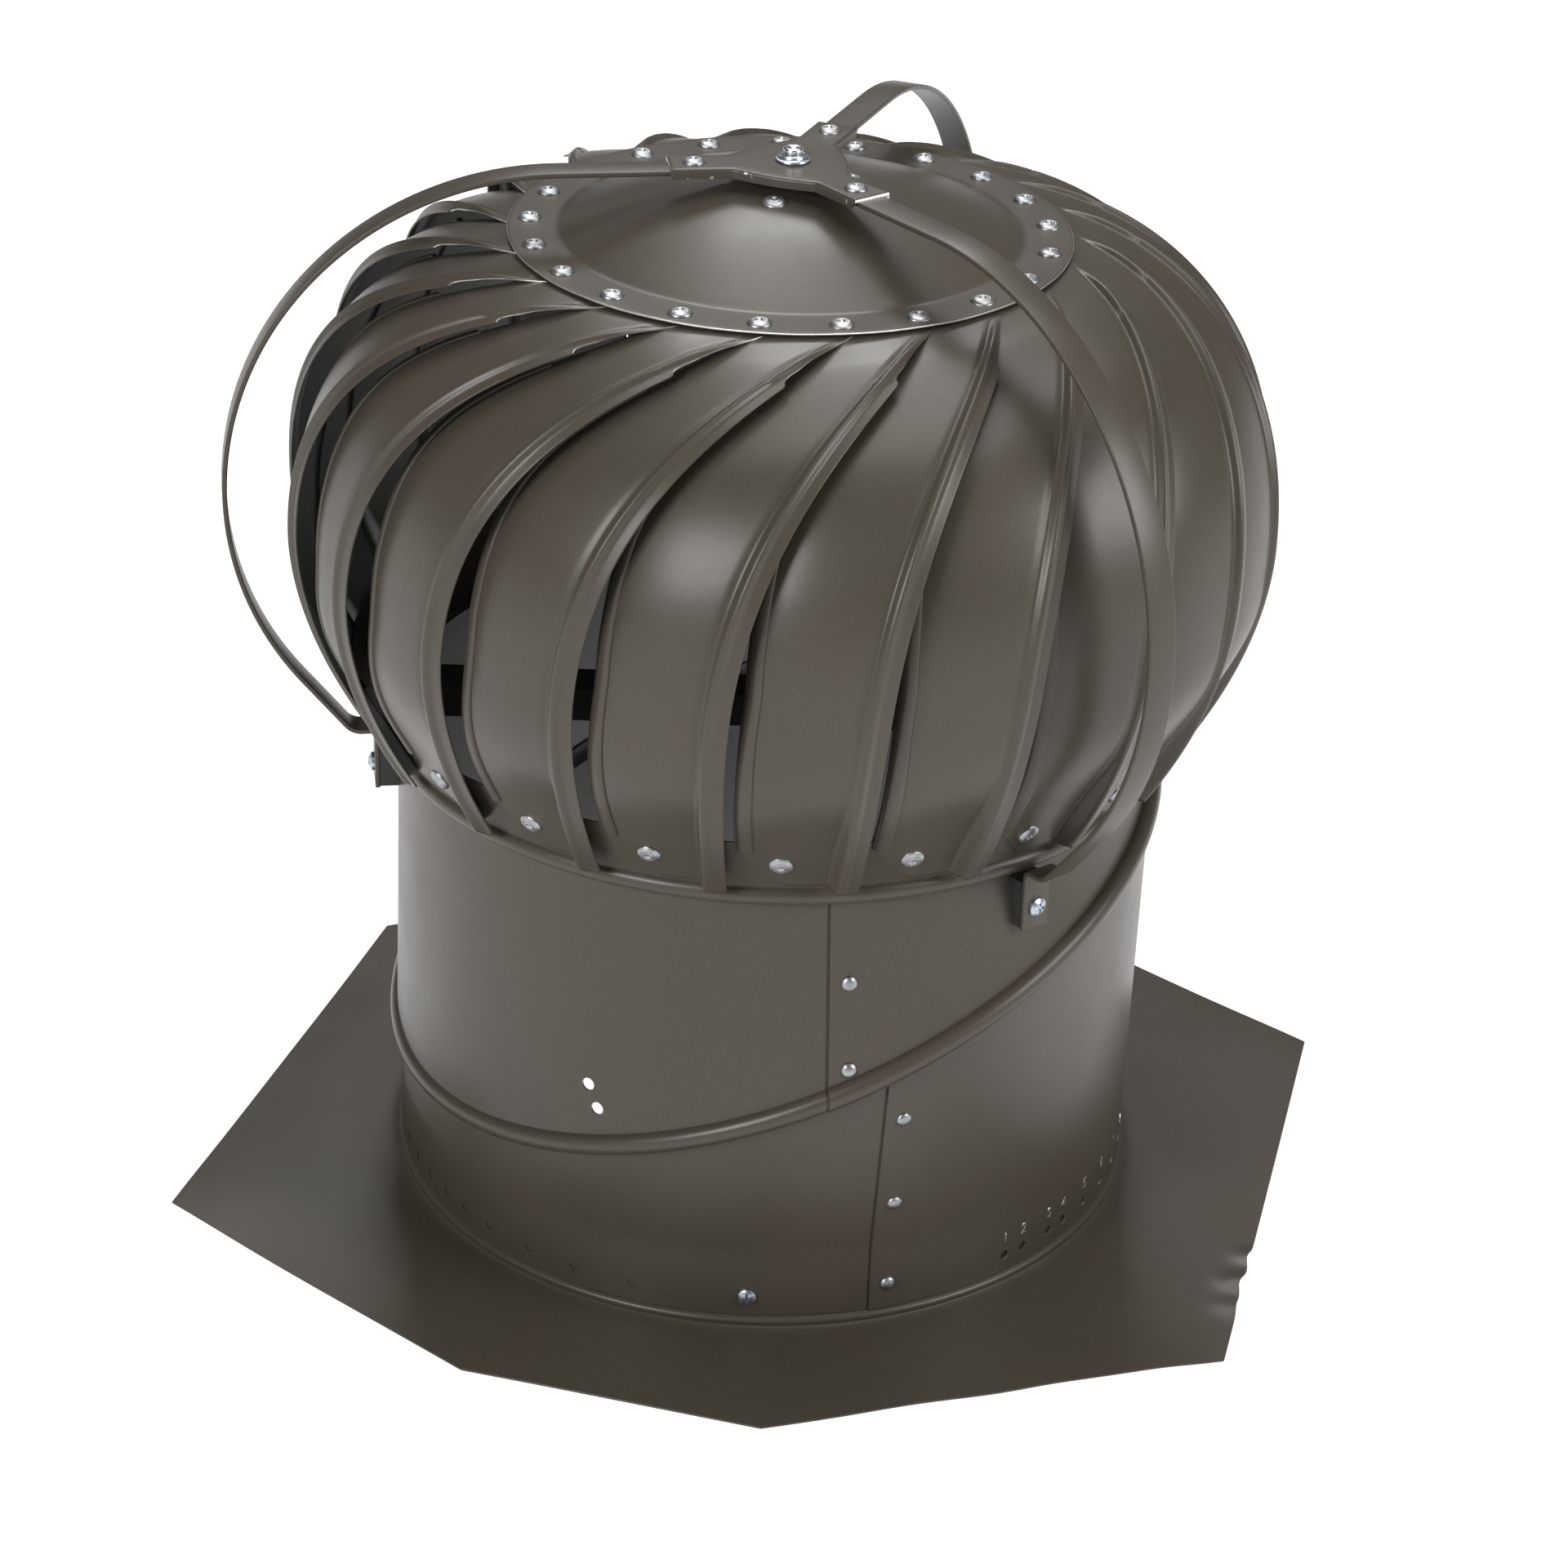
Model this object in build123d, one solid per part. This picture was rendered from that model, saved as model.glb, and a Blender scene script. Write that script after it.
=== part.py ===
from build123d import *
from math import asin, atan2, cos, degrees, hypot, radians, sin
import os

# Externally braced roof turbine vent with a 12-inch throat, on a roof flashing.
# Millimetres, +Z up. The origin is the throat's centre on the underside of the flashing.

# Sheet metal
SHEET = 0.8                    # flashing, collars, ring and crown
BLADE_SHEET = 0.8
SLIP_GAP = 0.4                 # radial gap between the lower collar and the neck

# Flashing plate: an irregular octagon, and the neck spun up from it
OUTLINE = [(-247, -84), (-116, -194), (4, -225), (190, -171), (247, 76), (116, 194), (-4, 225), (-180, 155)]
COLLAR_R = 157.0               # outside of both collars
NECK_R = COLLAR_R - SHEET - SLIP_GAP
NECK_TOP = 32.0
NECK_ROOT_R = 165.0            # where the spun neck blends into the flat plate
NECK_BEAD_Z = 3.4
NECK_BEAD_HALF = 2.2
NECK_BEAD_RISE = 2.4

# Lower collar
LOWER_BOTTOM = 6.2
LOWER_ROUND_TOP = 36.0         # below this height the lower collar is a true cylinder
LOWER_SEAM_DEG = -72.8
LOWER_SEAM_RIVET_Z = (17.9, 58.8, 101.7)
PITCH_HOLE_Z = 13.5
PITCH_HOLE_R = 1.8
PITCH_HOLE_DEG = (-49.3, -45.5, -39.5, -35.6, -29.2, -22.6, -15.9, -9.3, -2.7, 3.9, 10.5, 17.1)
PILOT_MARK_DEG = (-108.6, -118.2, -126.5, -134.9, -140.9, -146.2, -151.9, -157.4, -163.0)
PILOT_MARK_DEPTH = 0.4
CLAMP_DEG = -91.2
CLAMP_Z = 15.3

# Slanted swivel joint between the collars
JOINT_Z = 124.5
JOINT_TILT = 22.5              # so a half turn of the upper collar gives a 12-in-12 pitch
JOINT_UPHILL_DEG = 15.0
JOINT_HALF = 4.6               # half the height of the swivel bead
UPPER_JOINT_R = 169.2          # outside of the upper wall where it meets its bead
UPPER_BEAD_R = 174.0
UPPER_LIP_R = 170.2
LOWER_JOINT_R = 168.0
LOWER_BEAD_R = 172.6
LOWER_LIP_R = 167.8
LOWER_LIP_TOP = 4.2

# Upper collar
UPPER_TOP = 206.0
UPPER_ROUND_BOTTOM = 199.5     # above this height the upper collar is a true cylinder
UPPER_TOP_R = 156.4
UPPER_SEAM_DEG = -81.2
UPPER_SEAM_RIVET_Z = (129.6, 165.2)
SEAM_RIVET_LEAD = 2.7          # degrees from the seam line to its rivets
SEAM_WIDTH = 0.5
SEAM_DEPTH = 0.35
VENT_HOLES = ((-114.9, 108.3), (-113.3, 98.8))
VENT_HOLE_R = 2.1

# Turbine lower ring
RING_BOTTOM = 198.6
RING_BOTTOM_R = 158.0
RING_BEAD_Z = 202.4
RING_BEAD_R = 161.8
RING_NECK = (159.6, 206.0)
RING_RIM = (175.3, 234.0)

# Blades
BLADE_COUNT = 21
FIRST_BLADE_DEG = -88.5        # of the blade's rivet in the lower ring
PITCH_DEG = 360 / BLADE_COUNT
BLADE_SPAN = 16.0              # degrees from the tucked edge to the lip
BLADE_LEAD = 10.2              # degrees from the lower rivet to the lip, at the ring
BLADE_SWEEP = 41.5             # degrees that the lip gains between the ring and the crown
SWEEP_POWER = 3.8
BLADE_TUCK = 10.8              # how far the tucked edge lies inside the lip's envelope
FOOT_TOP = (236.0, 262.0)      # heights between which a blade leaves the ring and opens
TOP_TAB = (112.0, 142.0)       # radii between which a blade flattens under the crown
CONTACT = 0.05                 # allowance between riveted sheets
SKIN_TOLERANCE = 0.02
FOOT_GRIP = 1.75               # sheet held by a rivet in the ring
CROWN_GRIP = 2.1
CHAMFER_TOP = (-6.8, 231.0)    # degrees from the rivet, height
CHAMFER_FOOT = (0.6, 207.5)
LOWER_RIVET_Z = 222.0
ENVELOPE = [(166.8, 207.0), (178.2, 223.0), (191.5, 252.0), (200.0, 303.0), (189.5, 354.0),
            (166.5, 389.0), (140.5, 406.6), (124.0, 410.5), (110.0, 412.4), (95.0, 412.75)]

# Crown
CROWN_Z = 413.0                # underside of the crown's rivet flange
CROWN_R = 111.0
CROWN_RIVET_R = 102.7
CROWN_RIVET_LEAD = 44.1        # degrees from a blade's lower rivet to its crown rivet
DOME_R = 92.0
DOME_MID = (48.0, 429.2)
DOME_TOP = 434.6
DOME_HOLE_R = 9.5
DOME_RIVET_R = 24.0
DOME_RIVET_DEG = (-106.0, 14.0, 134.0)

# Spindle and bearings
SPINDLE_R = 3.97
BORE_R = 4.02
SPINDLE_BOTTOM = 209.05
SPINDLE_TOP = 447.4
HUB_SLEEVE_R = 8.0
HUB_SLEEVE_BOTTOM = 404.0
HUB_DISC_R = 32.0
BALL_R = 3.5

# Cross bar, a channel on edge across the collar
BAR_TOP = 213.0
BAR_BOTTOM = 199.0
BAR_WIDTH = 20.0
BAR_SHEET = 1.6
BAR_HALF = 155.1
BAR_RIVET_Z = 202.2
BAR_RIVET_Y = 6.0

# External brace
ARM_DEG = (-171.0, -51.0, 69.0)
ARM_WIDTH = 13.0
ARM_THICK = 2.0
ARM_Z = 439.5                  # mid-thickness of the arms at the hub
ARM_START = 14.0
ARM_RUN = 93.0                 # radius where an arm starts to bow
BOW_RADIUS = 131.0
BOW_TURN = 129.0
ARM_DROP = 27.0
CURL_RADIUS = 8.0              # bend that brings the arm's foot level, heading inwards
FOOT_RUN = 3.0
TAB_RADIUS = 3.0
TAB_LENGTH = 23.0
TAB_SCREW = 0.6                # how far down the tab its screw sits
HUB_PLATE_TOP = 442.0
HUB_PLATE_THICK = 1.5
HUB_SKIRT = 4.0                # depth of the hub plate's turned-down edge
HUB_LEG = 49.0
HUB_LEG_WIDTH = 17.0
HUB_EYE_R = 21.0
HUB_RIVET_R = 39.0
SPACER_WIDTH = 13.0
SPACER_TALL = 20.0
SPACER_RISE = 1.5              # its middle above the foot screw

# Fasteners: head radius, head height, shank radius
BLADE_RIVET = (4.7, 1.7, 2.3)
SEAM_RIVET = (3.2, 1.3, 1.6)
BAR_RIVET = (2.6, 0.9, 1.5)
CLAMP_SCREW = (3.7, 2.3, 2.1)
FOOT_SCREW = (3.9, 2.6, 2.1)

os.makedirs("parts", exist_ok=True)
nodes = {}


def polar(radius, angle_deg, z=0.0):
    return Vector(radius * cos(radians(angle_deg)), radius * sin(radians(angle_deg)), z)


def ring_solid(profile):
    """Turns a closed profile, drawn as radius and height, about the Z axis."""
    face = make_face(profile)
    return revolve(Plane.XZ * face, Axis.Z)


def beaded_wall(radii, heights, bead_r, thickness):
    """Profile of a sheet wall that is one outward bead: arc outside, arc inside."""
    outer = ThreePointArc((radii[0], heights[0]), (bead_r, (heights[0] + heights[1]) / 2), (radii[1], heights[1]))
    inner = ThreePointArc((radii[0] - thickness, heights[0]), (bead_r - thickness, (heights[0] + heights[1]) / 2),
                          (radii[1] - thickness, heights[1]))
    return outer + inner + Line(outer @ 0, inner @ 0) + Line(outer @ 1, inner @ 1)


def aimed(radius, angle_deg, z, lift_deg=0.0):
    """Frame on a wall whose Z axis points outwards, raised by lift_deg above level."""
    outward = Vector(cos(radians(lift_deg)) * cos(radians(angle_deg)),
                     cos(radians(lift_deg)) * sin(radians(angle_deg)), sin(radians(lift_deg)))
    side = Vector(-sin(radians(angle_deg)), cos(radians(angle_deg)), 0)
    return Plane(origin=polar(radius, angle_deg, z), x_dir=side, z_dir=outward)


def cap_arc(radius, low, high):
    """Arc of a ball's cap, from its rim at height low to its top at height high on the axis."""
    ball_r = (radius ** 2 + (high - low) ** 2) / (2 * (high - low))
    half_turn = asin(radius / ball_r) / 2
    middle = (ball_r * sin(half_turn), high - ball_r + ball_r * cos(half_turn))
    return ThreePointArc((radius, low), middle, (0, high))


def rivet(size, grip):
    """Domed rivet with its head on the XY plane and a tail below the grip."""
    head_r, head_h, shank_r = size
    tail_r = shank_r * 1.5
    tail_h = shank_r * 0.5
    outline = Polyline((head_r, 0), (shank_r, 0), (shank_r, -grip), (tail_r, -grip), (tail_r, -grip - tail_h),
                       (0, -grip - tail_h), (0, head_h))
    return ring_solid(cap_arc(head_r, 0, head_h) + outline)


def flush_rivet(size, grip):
    """Domed rivet whose tail is dressed flush with the inside of the sheet."""
    head_r, head_h, shank_r = size
    outline = Polyline((head_r, 0), (shank_r, 0), (shank_r, -grip), (0, -grip), (0, head_h))
    return ring_solid(cap_arc(head_r, 0, head_h) + outline)


def pan_screw(size, grip):
    """Pan-head screw with a cross recess, head on the XY plane."""
    head_r, head_h, shank_r = size
    side = head_h * 0.45
    outline = Polyline((head_r, side), (head_r, 0), (shank_r, 0), (shank_r, -grip), (0, -grip), (0, head_h))
    screw = ring_solid(cap_arc(head_r, side, head_h) + outline)
    for turn in (0, 90):
        screw -= Rot(0, 0, turn) * Pos(0, 0, head_h) * Box(head_r * 1.15, head_r * 0.26, head_h * 0.9)
    return screw


# ---- Flashing -------------------------------------------------------------

def make_flashing():
    bead_low = NECK_BEAD_Z - NECK_BEAD_HALF
    bead_high = NECK_BEAD_Z + NECK_BEAD_HALF
    inside_r = NECK_R - SHEET
    bead = ThreePointArc((NECK_R, bead_low), (NECK_R + NECK_BEAD_RISE, NECK_BEAD_Z), (NECK_R, bead_high))
    inner_bead = ThreePointArc((inside_r, bead_high), (inside_r + NECK_BEAD_RISE, NECK_BEAD_Z), (inside_r, bead_low))
    top = Polyline(bead @ 1, (NECK_R, NECK_TOP), (inside_r, NECK_TOP), inner_bead @ 0)
    root = Polyline(inner_bead @ 1, (inside_r, 0), (NECK_ROOT_R, 0), (NECK_ROOT_R, SHEET), (NECK_R, SHEET), bead @ 0)
    neck = ring_solid(bead + top + inner_bead + root)
    plate = extrude(make_face(Polyline(*OUTLINE, close=True)), SHEET)
    return plate - Cylinder(NECK_ROOT_R, 4 * SHEET) + neck


# ---- Collars --------------------------------------------------------------

uphill = Vector(cos(radians(JOINT_UPHILL_DEG)), sin(radians(JOINT_UPHILL_DEG)), 0)
joint_axis = Vector(0, 0, 1) * cos(radians(JOINT_TILT)) - uphill * sin(radians(JOINT_TILT))
joint_slope = uphill * cos(radians(JOINT_TILT)) + Vector(0, 0, 1) * sin(radians(JOINT_TILT))
joint_plane = Plane(origin=(0, 0, JOINT_Z), x_dir=joint_slope, z_dir=joint_axis)


def level_circle(radius, z):
    return Wire.make_circle(radius, Plane(origin=(0, 0, z), x_dir=uphill, z_dir=(0, 0, 1)))


def joint_circle(radius, offset):
    return Wire.make_circle(radius, joint_plane.offset(offset))


def lower_body(inset):
    """Solid filled by the lower collar up to its bead, shrunk by inset."""
    tall = LOWER_ROUND_TOP - LOWER_BOTTOM
    base = Pos(0, 0, LOWER_BOTTOM) * Cylinder(COLLAR_R - inset, tall, align=(Align.CENTER, Align.CENTER, Align.MIN))
    foot = level_circle(COLLAR_R - inset, LOWER_ROUND_TOP)
    return base + Solid.make_loft([foot, joint_circle(LOWER_JOINT_R - inset, -JOINT_HALF)], True)


def upper_body(inset):
    """Solid filled by the upper collar above its bead, shrunk by inset."""
    tall = UPPER_TOP - UPPER_ROUND_BOTTOM
    cap = Pos(0, 0, UPPER_ROUND_BOTTOM) * Cylinder(UPPER_TOP_R - inset, tall,
                                                   align=(Align.CENTER, Align.CENTER, Align.MIN))
    head = level_circle(UPPER_TOP_R - inset, UPPER_ROUND_BOTTOM)
    return cap + Solid.make_loft([joint_circle(UPPER_JOINT_R - inset, JOINT_HALF), head], True)


def seam_slot(angle_deg, outside, inside):
    """Narrow upright groove in a wall's outside, where the sheet laps over itself."""
    slab = Rot(0, 0, angle_deg) * Pos(COLLAR_R, 0, 110) * Box(60, SEAM_WIDTH, 300)
    return slab & (outside - inside)


def joint_bead(profile):
    return joint_plane * revolve(Plane.XZ * make_face(profile), Axis.Z)


def make_lower_collar():
    outside = lower_body(0)
    wall = outside - lower_body(SHEET)
    wall -= seam_slot(LOWER_SEAM_DEG, outside, lower_body(SEAM_DEPTH))
    bead = joint_bead(beaded_wall((LOWER_JOINT_R, LOWER_LIP_R), (-JOINT_HALF, LOWER_LIP_TOP), LOWER_BEAD_R, SHEET))
    collar = wall + bead
    for angle in PITCH_HOLE_DEG:
        collar -= aimed(COLLAR_R, angle, PITCH_HOLE_Z) * Cylinder(PITCH_HOLE_R, 4 * SHEET)
    for angle in PILOT_MARK_DEG:
        mark = aimed(COLLAR_R - PILOT_MARK_DEPTH, angle, PITCH_HOLE_Z + 1)
        collar -= mark * Cylinder(PITCH_HOLE_R, 2, align=(Align.CENTER, Align.CENTER, Align.MIN))
    collar -= aimed(COLLAR_R, CLAMP_DEG, CLAMP_Z) * Cylinder(CLAMP_SCREW[2], 4 * SHEET)
    for frame in seam_rivet_frames(outside, LOWER_SEAM_DEG, LOWER_SEAM_RIVET_Z):
        collar -= frame * Cylinder(SEAM_RIVET[2], 6 * SHEET)
    return collar


def wall_point(body, angle_deg, z):
    """Point on a collar's outside at one angle and height."""
    probe = Edge.make_line(polar(COLLAR_R / 2, angle_deg, z), polar(2 * COLLAR_R, angle_deg, z))
    hit = probe & body
    return polar(max(hypot(v.X, v.Y) for v in hit.vertices()), angle_deg, z)


def wall_frame(body, angle_deg, z):
    """Frame on a collar's outside, square to the wall."""
    step = 0.5
    side = wall_point(body, angle_deg + step, z) - wall_point(body, angle_deg - step, z)
    rise = wall_point(body, angle_deg, z + step) - wall_point(body, angle_deg, z - step)
    return Plane(origin=wall_point(body, angle_deg, z), x_dir=side, z_dir=side.cross(rise))


def seam_rivet_frames(body, seam_deg, heights):
    return [wall_frame(body, seam_deg + SEAM_RIVET_LEAD, z) for z in heights]


def arm_path():
    """Centre line of one brace arm, drawn as radius and height."""
    run = Line((ARM_START, ARM_Z), (ARM_RUN, ARM_Z))
    bow = JernArc(run @ 1, run % 1, BOW_RADIUS, -BOW_TURN)
    drop = Line(bow @ 1, (bow @ 1) + (bow % 1) * ARM_DROP)
    curl = JernArc(drop @ 1, drop % 1, CURL_RADIUS, BOW_TURN - 180)
    foot = Line(curl @ 1, (curl @ 1) + (curl % 1) * FOOT_RUN)
    turn = JernArc(foot @ 1, foot % 1, TAB_RADIUS, 90)
    tab = Line(turn @ 1, (turn @ 1) + (turn % 1) * TAB_LENGTH)
    return run + bow + drop + curl + foot + turn + tab, tab


def foot_centre():
    """Radius of the tab's inner face and height of its screw."""
    tab = arm_path()[1]
    screw = tab @ TAB_SCREW
    return screw.X - ARM_THICK / 2, screw.Y


def make_upper_collar(outside):
    wall = outside - upper_body(SHEET)
    wall -= seam_slot(UPPER_SEAM_DEG, outside, upper_body(SEAM_DEPTH))
    bead = joint_bead(beaded_wall((UPPER_LIP_R, UPPER_JOINT_R), (-JOINT_HALF, JOINT_HALF), UPPER_BEAD_R, SHEET))
    collar = wall + bead
    for angle, z in VENT_HOLES:
        collar -= wall_frame(outside, angle, z) * Cylinder(VENT_HOLE_R, 8 * SHEET)
    for frame in seam_rivet_frames(outside, UPPER_SEAM_DEG, UPPER_SEAM_RIVET_Z):
        collar -= frame * Cylinder(SEAM_RIVET[2], 6 * SHEET)
    foot_z = foot_centre()[1]
    for angle in ARM_DEG:
        collar -= aimed(COLLAR_R, angle, foot_z) * Cylinder(FOOT_SCREW[2], 30)
    for frame in bar_rivet_frames():
        collar -= frame * Cylinder(BAR_RIVET[2], 8 * SHEET)
    return collar


# ---- Cross bar and lower bearing ------------------------------------------

def bar_rivet_frames():
    frames = []
    for side in (1, -1):
        for y in (BAR_RIVET_Y, -BAR_RIVET_Y):
            x = side * (UPPER_TOP_R ** 2 - y ** 2) ** 0.5
            angle = degrees(atan2(y, x))
            frames.append(aimed(UPPER_TOP_R, angle, BAR_RIVET_Z))
    return frames


def make_cross_bar():
    tall = BAR_TOP - BAR_BOTTOM
    block = Pos(0, 0, BAR_BOTTOM) * Box(2 * BAR_HALF, BAR_WIDTH, tall, align=(Align.CENTER, Align.CENTER, Align.MIN))
    hollow = Box(2 * (BAR_HALF - BAR_SHEET), BAR_WIDTH - 2 * BAR_SHEET, tall - BAR_SHEET,
                 align=(Align.CENTER, Align.CENTER, Align.MIN))
    bar = block - Pos(0, 0, BAR_BOTTOM) * hollow
    bar -= Cylinder(HUB_SLEEVE_R, 2 * BAR_TOP + 10)
    for frame in bar_rivet_frames():
        bar -= frame * Cylinder(BAR_RIVET[2], 12 * SHEET)
    return bar


def make_lower_bearing():
    """Flanged blind cup that sits in the cross bar's web."""
    cup_bottom = SPINDLE_BOTTOM - 2 * BALL_R - 0.05
    outline = Polyline((0, cup_bottom - 3), (HUB_SLEEVE_R, cup_bottom - 3), (HUB_SLEEVE_R, BAR_TOP),
                       (HUB_SLEEVE_R + 4, BAR_TOP), (HUB_SLEEVE_R + 4, BAR_TOP + 2), (BORE_R, BAR_TOP + 2),
                       (BORE_R, cup_bottom), (0, cup_bottom), close=True)
    return ring_solid(outline)


def make_thrust_ball():
    return Pos(0, 0, SPINDLE_BOTTOM - 0.05 - BALL_R) * Sphere(BALL_R)


# ---- Turbine --------------------------------------------------------------

def make_lower_ring():
    bead = ThreePointArc((RING_BOTTOM_R, RING_BOTTOM), (RING_BEAD_R, RING_BEAD_Z), RING_NECK)
    inner_bead = ThreePointArc((RING_BOTTOM_R - SHEET, RING_BOTTOM), (RING_BEAD_R - SHEET, RING_BEAD_Z),
                               (RING_NECK[0] - SHEET, RING_NECK[1]))
    inner_rim = (RING_RIM[0] - SHEET, RING_RIM[1])
    sides = Line(bead @ 0, inner_bead @ 0) + Line(bead @ 1, RING_RIM) + Line(inner_bead @ 1, inner_rim)
    ring = ring_solid(bead + inner_bead + sides + Line(RING_RIM, inner_rim))
    for blade in range(BLADE_COUNT):
        ring -= lower_rivet_frame(blade) * Cylinder(BLADE_RIVET[2], 8 * SHEET)
    return ring


def cone_lift():
    return -degrees(atan2(RING_RIM[0] - RING_NECK[0], RING_RIM[1] - RING_NECK[1]))


def lower_rivet_frame(blade):
    """Frame of one blade's rivet, on the outside of the blade where it lies on the ring."""
    rise = (LOWER_RIVET_Z - RING_NECK[1]) / (RING_RIM[1] - RING_NECK[1])
    seat = (BLADE_SHEET + CONTACT) / cos(radians(cone_lift()))
    radius = RING_NECK[0] + rise * (RING_RIM[0] - RING_NECK[0]) + seat
    return aimed(radius, FIRST_BLADE_DEG + blade * PITCH_DEG, LOWER_RIVET_Z, cone_lift())


envelope = Spline(*ENVELOPE)


def ease(value, low, high):
    """Smooth step from 0 at low to 1 at high."""
    t = min(max((value - low) / (high - low), 0), 1)
    return t * t * (3 - 2 * t)


def blade_point(along, across, depth):
    """Point of the first blade: along from ring to crown, across from tucked edge to lip, depth into the sheet."""
    lip = envelope @ along
    tangent = envelope % along
    outward = Vector(tangent.Y, -tangent.X)
    cone_foot = Vector(*RING_NECK)
    cone_run = (Vector(*RING_RIM) - cone_foot).normalized()
    cone_out = Vector(cone_run.Y, -cone_run.X)
    seat = cone_foot + cone_run * (lip - cone_foot).dot(cone_run) + cone_out * (BLADE_SHEET + CONTACT)
    flat = 1 - ease(across, 0.78, 1.0)
    foot = lip + (seat - lip) * flat - cone_out * depth
    closed = 1 - ease(lip.X, *TOP_TAB)
    if lip.Y < FOOT_TOP[1]:
        closed = 0
    body = lip - outward * (BLADE_TUCK * (1 - across) ** 1.35 * (1 - closed) + depth)
    point = foot + (body - foot) * ease(lip.Y, *FOOT_TOP)
    angle = BLADE_LEAD + BLADE_SWEEP * along ** SWEEP_POWER - BLADE_SPAN * (1 - across)
    return polar(point.X, FIRST_BLADE_DEG + angle, point.Y)


def make_first_blade():
    rows = 40
    columns = 12
    skins = []
    for depth in (0, BLADE_SHEET):
        grid = [[blade_point(i / rows, j / columns, depth) for j in range(columns + 1)] for i in range(rows + 1)]
        skins.append(Face.make_surface_from_array_of_points(grid, tol=SKIN_TOLERANCE))
    sides = []
    for edge in skins[0].edges():
        middle = edge @ 0.5
        partner = min(skins[1].edges(), key=lambda other: ((other @ 0.5) - middle).length)
        sides.append(Face.make_surface_from_curves(edge, partner))
    blade = Solid(Shell(skins + sides))
    blade -= blade_chamfer()
    blade -= ring_solid(Polyline(RING_NECK, RING_RIM, (0, RING_RIM[1]), (0, RING_NECK[1]), close=True))
    blade -= Pos(0, 0, CROWN_Z) * Cylinder(2 * CROWN_R, 5, align=(Align.CENTER, Align.CENTER, Align.MIN))
    blade -= lower_rivet_frame(0) * Cylinder(BLADE_RIVET[2], 8 * SHEET)
    return blade - crown_rivet_frame(0) * Cylinder(BLADE_RIVET[2], 8 * SHEET)


def blade_chamfer():
    """Wedge that trims the tucked lower corner of the first blade along a slanting line."""
    middle_deg = FIRST_BLADE_DEG + (CHAMFER_TOP[0] + CHAMFER_FOOT[0]) / 2
    middle_z = (CHAMFER_TOP[1] + CHAMFER_FOOT[1]) / 2
    run = radians(CHAMFER_FOOT[0] - CHAMFER_TOP[0]) * RING_RIM[0]
    slope = degrees(atan2(CHAMFER_TOP[1] - CHAMFER_FOOT[1], run))
    frame = aimed(RING_RIM[0], middle_deg, middle_z)
    return frame * Rot(0, 0, -slope) * Box(60, 30, 60, align=(Align.CENTER, Align.MAX, Align.CENTER))


def crown_rivet_frame(blade):
    angle = FIRST_BLADE_DEG + CROWN_RIVET_LEAD + blade * PITCH_DEG
    return Plane(origin=polar(CROWN_RIVET_R, angle, CROWN_Z + SHEET), z_dir=(0, 0, 1))


def dome_arc(drop):
    return ThreePointArc((DOME_R, CROWN_Z + SHEET - drop), (DOME_MID[0], DOME_MID[1] - drop), (0, DOME_TOP - drop))


def dome_height(radius):
    crossing = dome_arc(0) & Edge.make_line((radius, 0), (radius, 600))
    return crossing.vertices()[0].Y


def make_crown():
    outer = dome_arc(0)
    inner = dome_arc(SHEET)
    flange = Polyline(outer @ 0, (CROWN_R, CROWN_Z + SHEET), (CROWN_R, CROWN_Z), inner @ 0)
    crown = ring_solid(outer + inner + flange + Line(outer @ 1, inner @ 1))
    crown -= Pos(0, 0, DOME_TOP) * Cylinder(DOME_HOLE_R, 20)
    for blade in range(BLADE_COUNT):
        crown -= crown_rivet_frame(blade) * Cylinder(BLADE_RIVET[2], 8 * SHEET)
    for frame in dome_rivet_frames():
        crown -= frame * Cylinder(BLADE_RIVET[2], 8 * SHEET)
    return crown


def dome_rivet_frames():
    step = 1.0
    slope = degrees(atan2(dome_height(DOME_RIVET_R - step) - dome_height(DOME_RIVET_R + step), 2 * step))
    z = dome_height(DOME_RIVET_R)
    return [aimed(DOME_RIVET_R, angle, z, 90 - slope) for angle in DOME_RIVET_DEG]


def make_rotor_hub():
    """Dished disc under the dome, with the sleeve that grips the spindle."""
    gap = SHEET + 0.05
    thick = 1.6
    upper = dome_arc(gap)
    lower = dome_arc(gap + thick)
    disc = ring_solid(upper + lower + Line(upper @ 0, lower @ 0) + Line(upper @ 1, lower @ 1))
    disc &= Cylinder(HUB_DISC_R, 2 * DOME_TOP)
    sleeve_tall = DOME_TOP - gap - HUB_SLEEVE_BOTTOM - thick / 2
    sleeve = Pos(0, 0, HUB_SLEEVE_BOTTOM) * Cylinder(HUB_SLEEVE_R, sleeve_tall,
                                                     align=(Align.CENTER, Align.CENTER, Align.MIN))
    hub = disc + sleeve - Cylinder(SPINDLE_R, 2 * DOME_TOP + 10)
    for frame in dome_rivet_frames():
        hub -= frame * Cylinder(BLADE_RIVET[2], 12 * SHEET)
    return hub


def make_spindle():
    tall = SPINDLE_TOP - SPINDLE_BOTTOM
    bar = Pos(0, 0, SPINDLE_BOTTOM) * Cylinder(SPINDLE_R, tall, align=(Align.CENTER, Align.CENTER, Align.MIN))
    return chamfer(bar.edges().group_by(Axis.Z)[-1], 0.6)


def make_retainer():
    """Push-on washer that holds the spindle up in the hub plate's bush."""
    low = HUB_PLATE_TOP + 0.4
    outline = Polyline((SPINDLE_R, low), (6.8, low), (6.8, low + 0.9), (5.2, low + 1.2), (5.0, low + 2.2),
                       (SPINDLE_R, low + 2.2), close=True)
    return ring_solid(outline)


# ---- External brace -------------------------------------------------------

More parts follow.
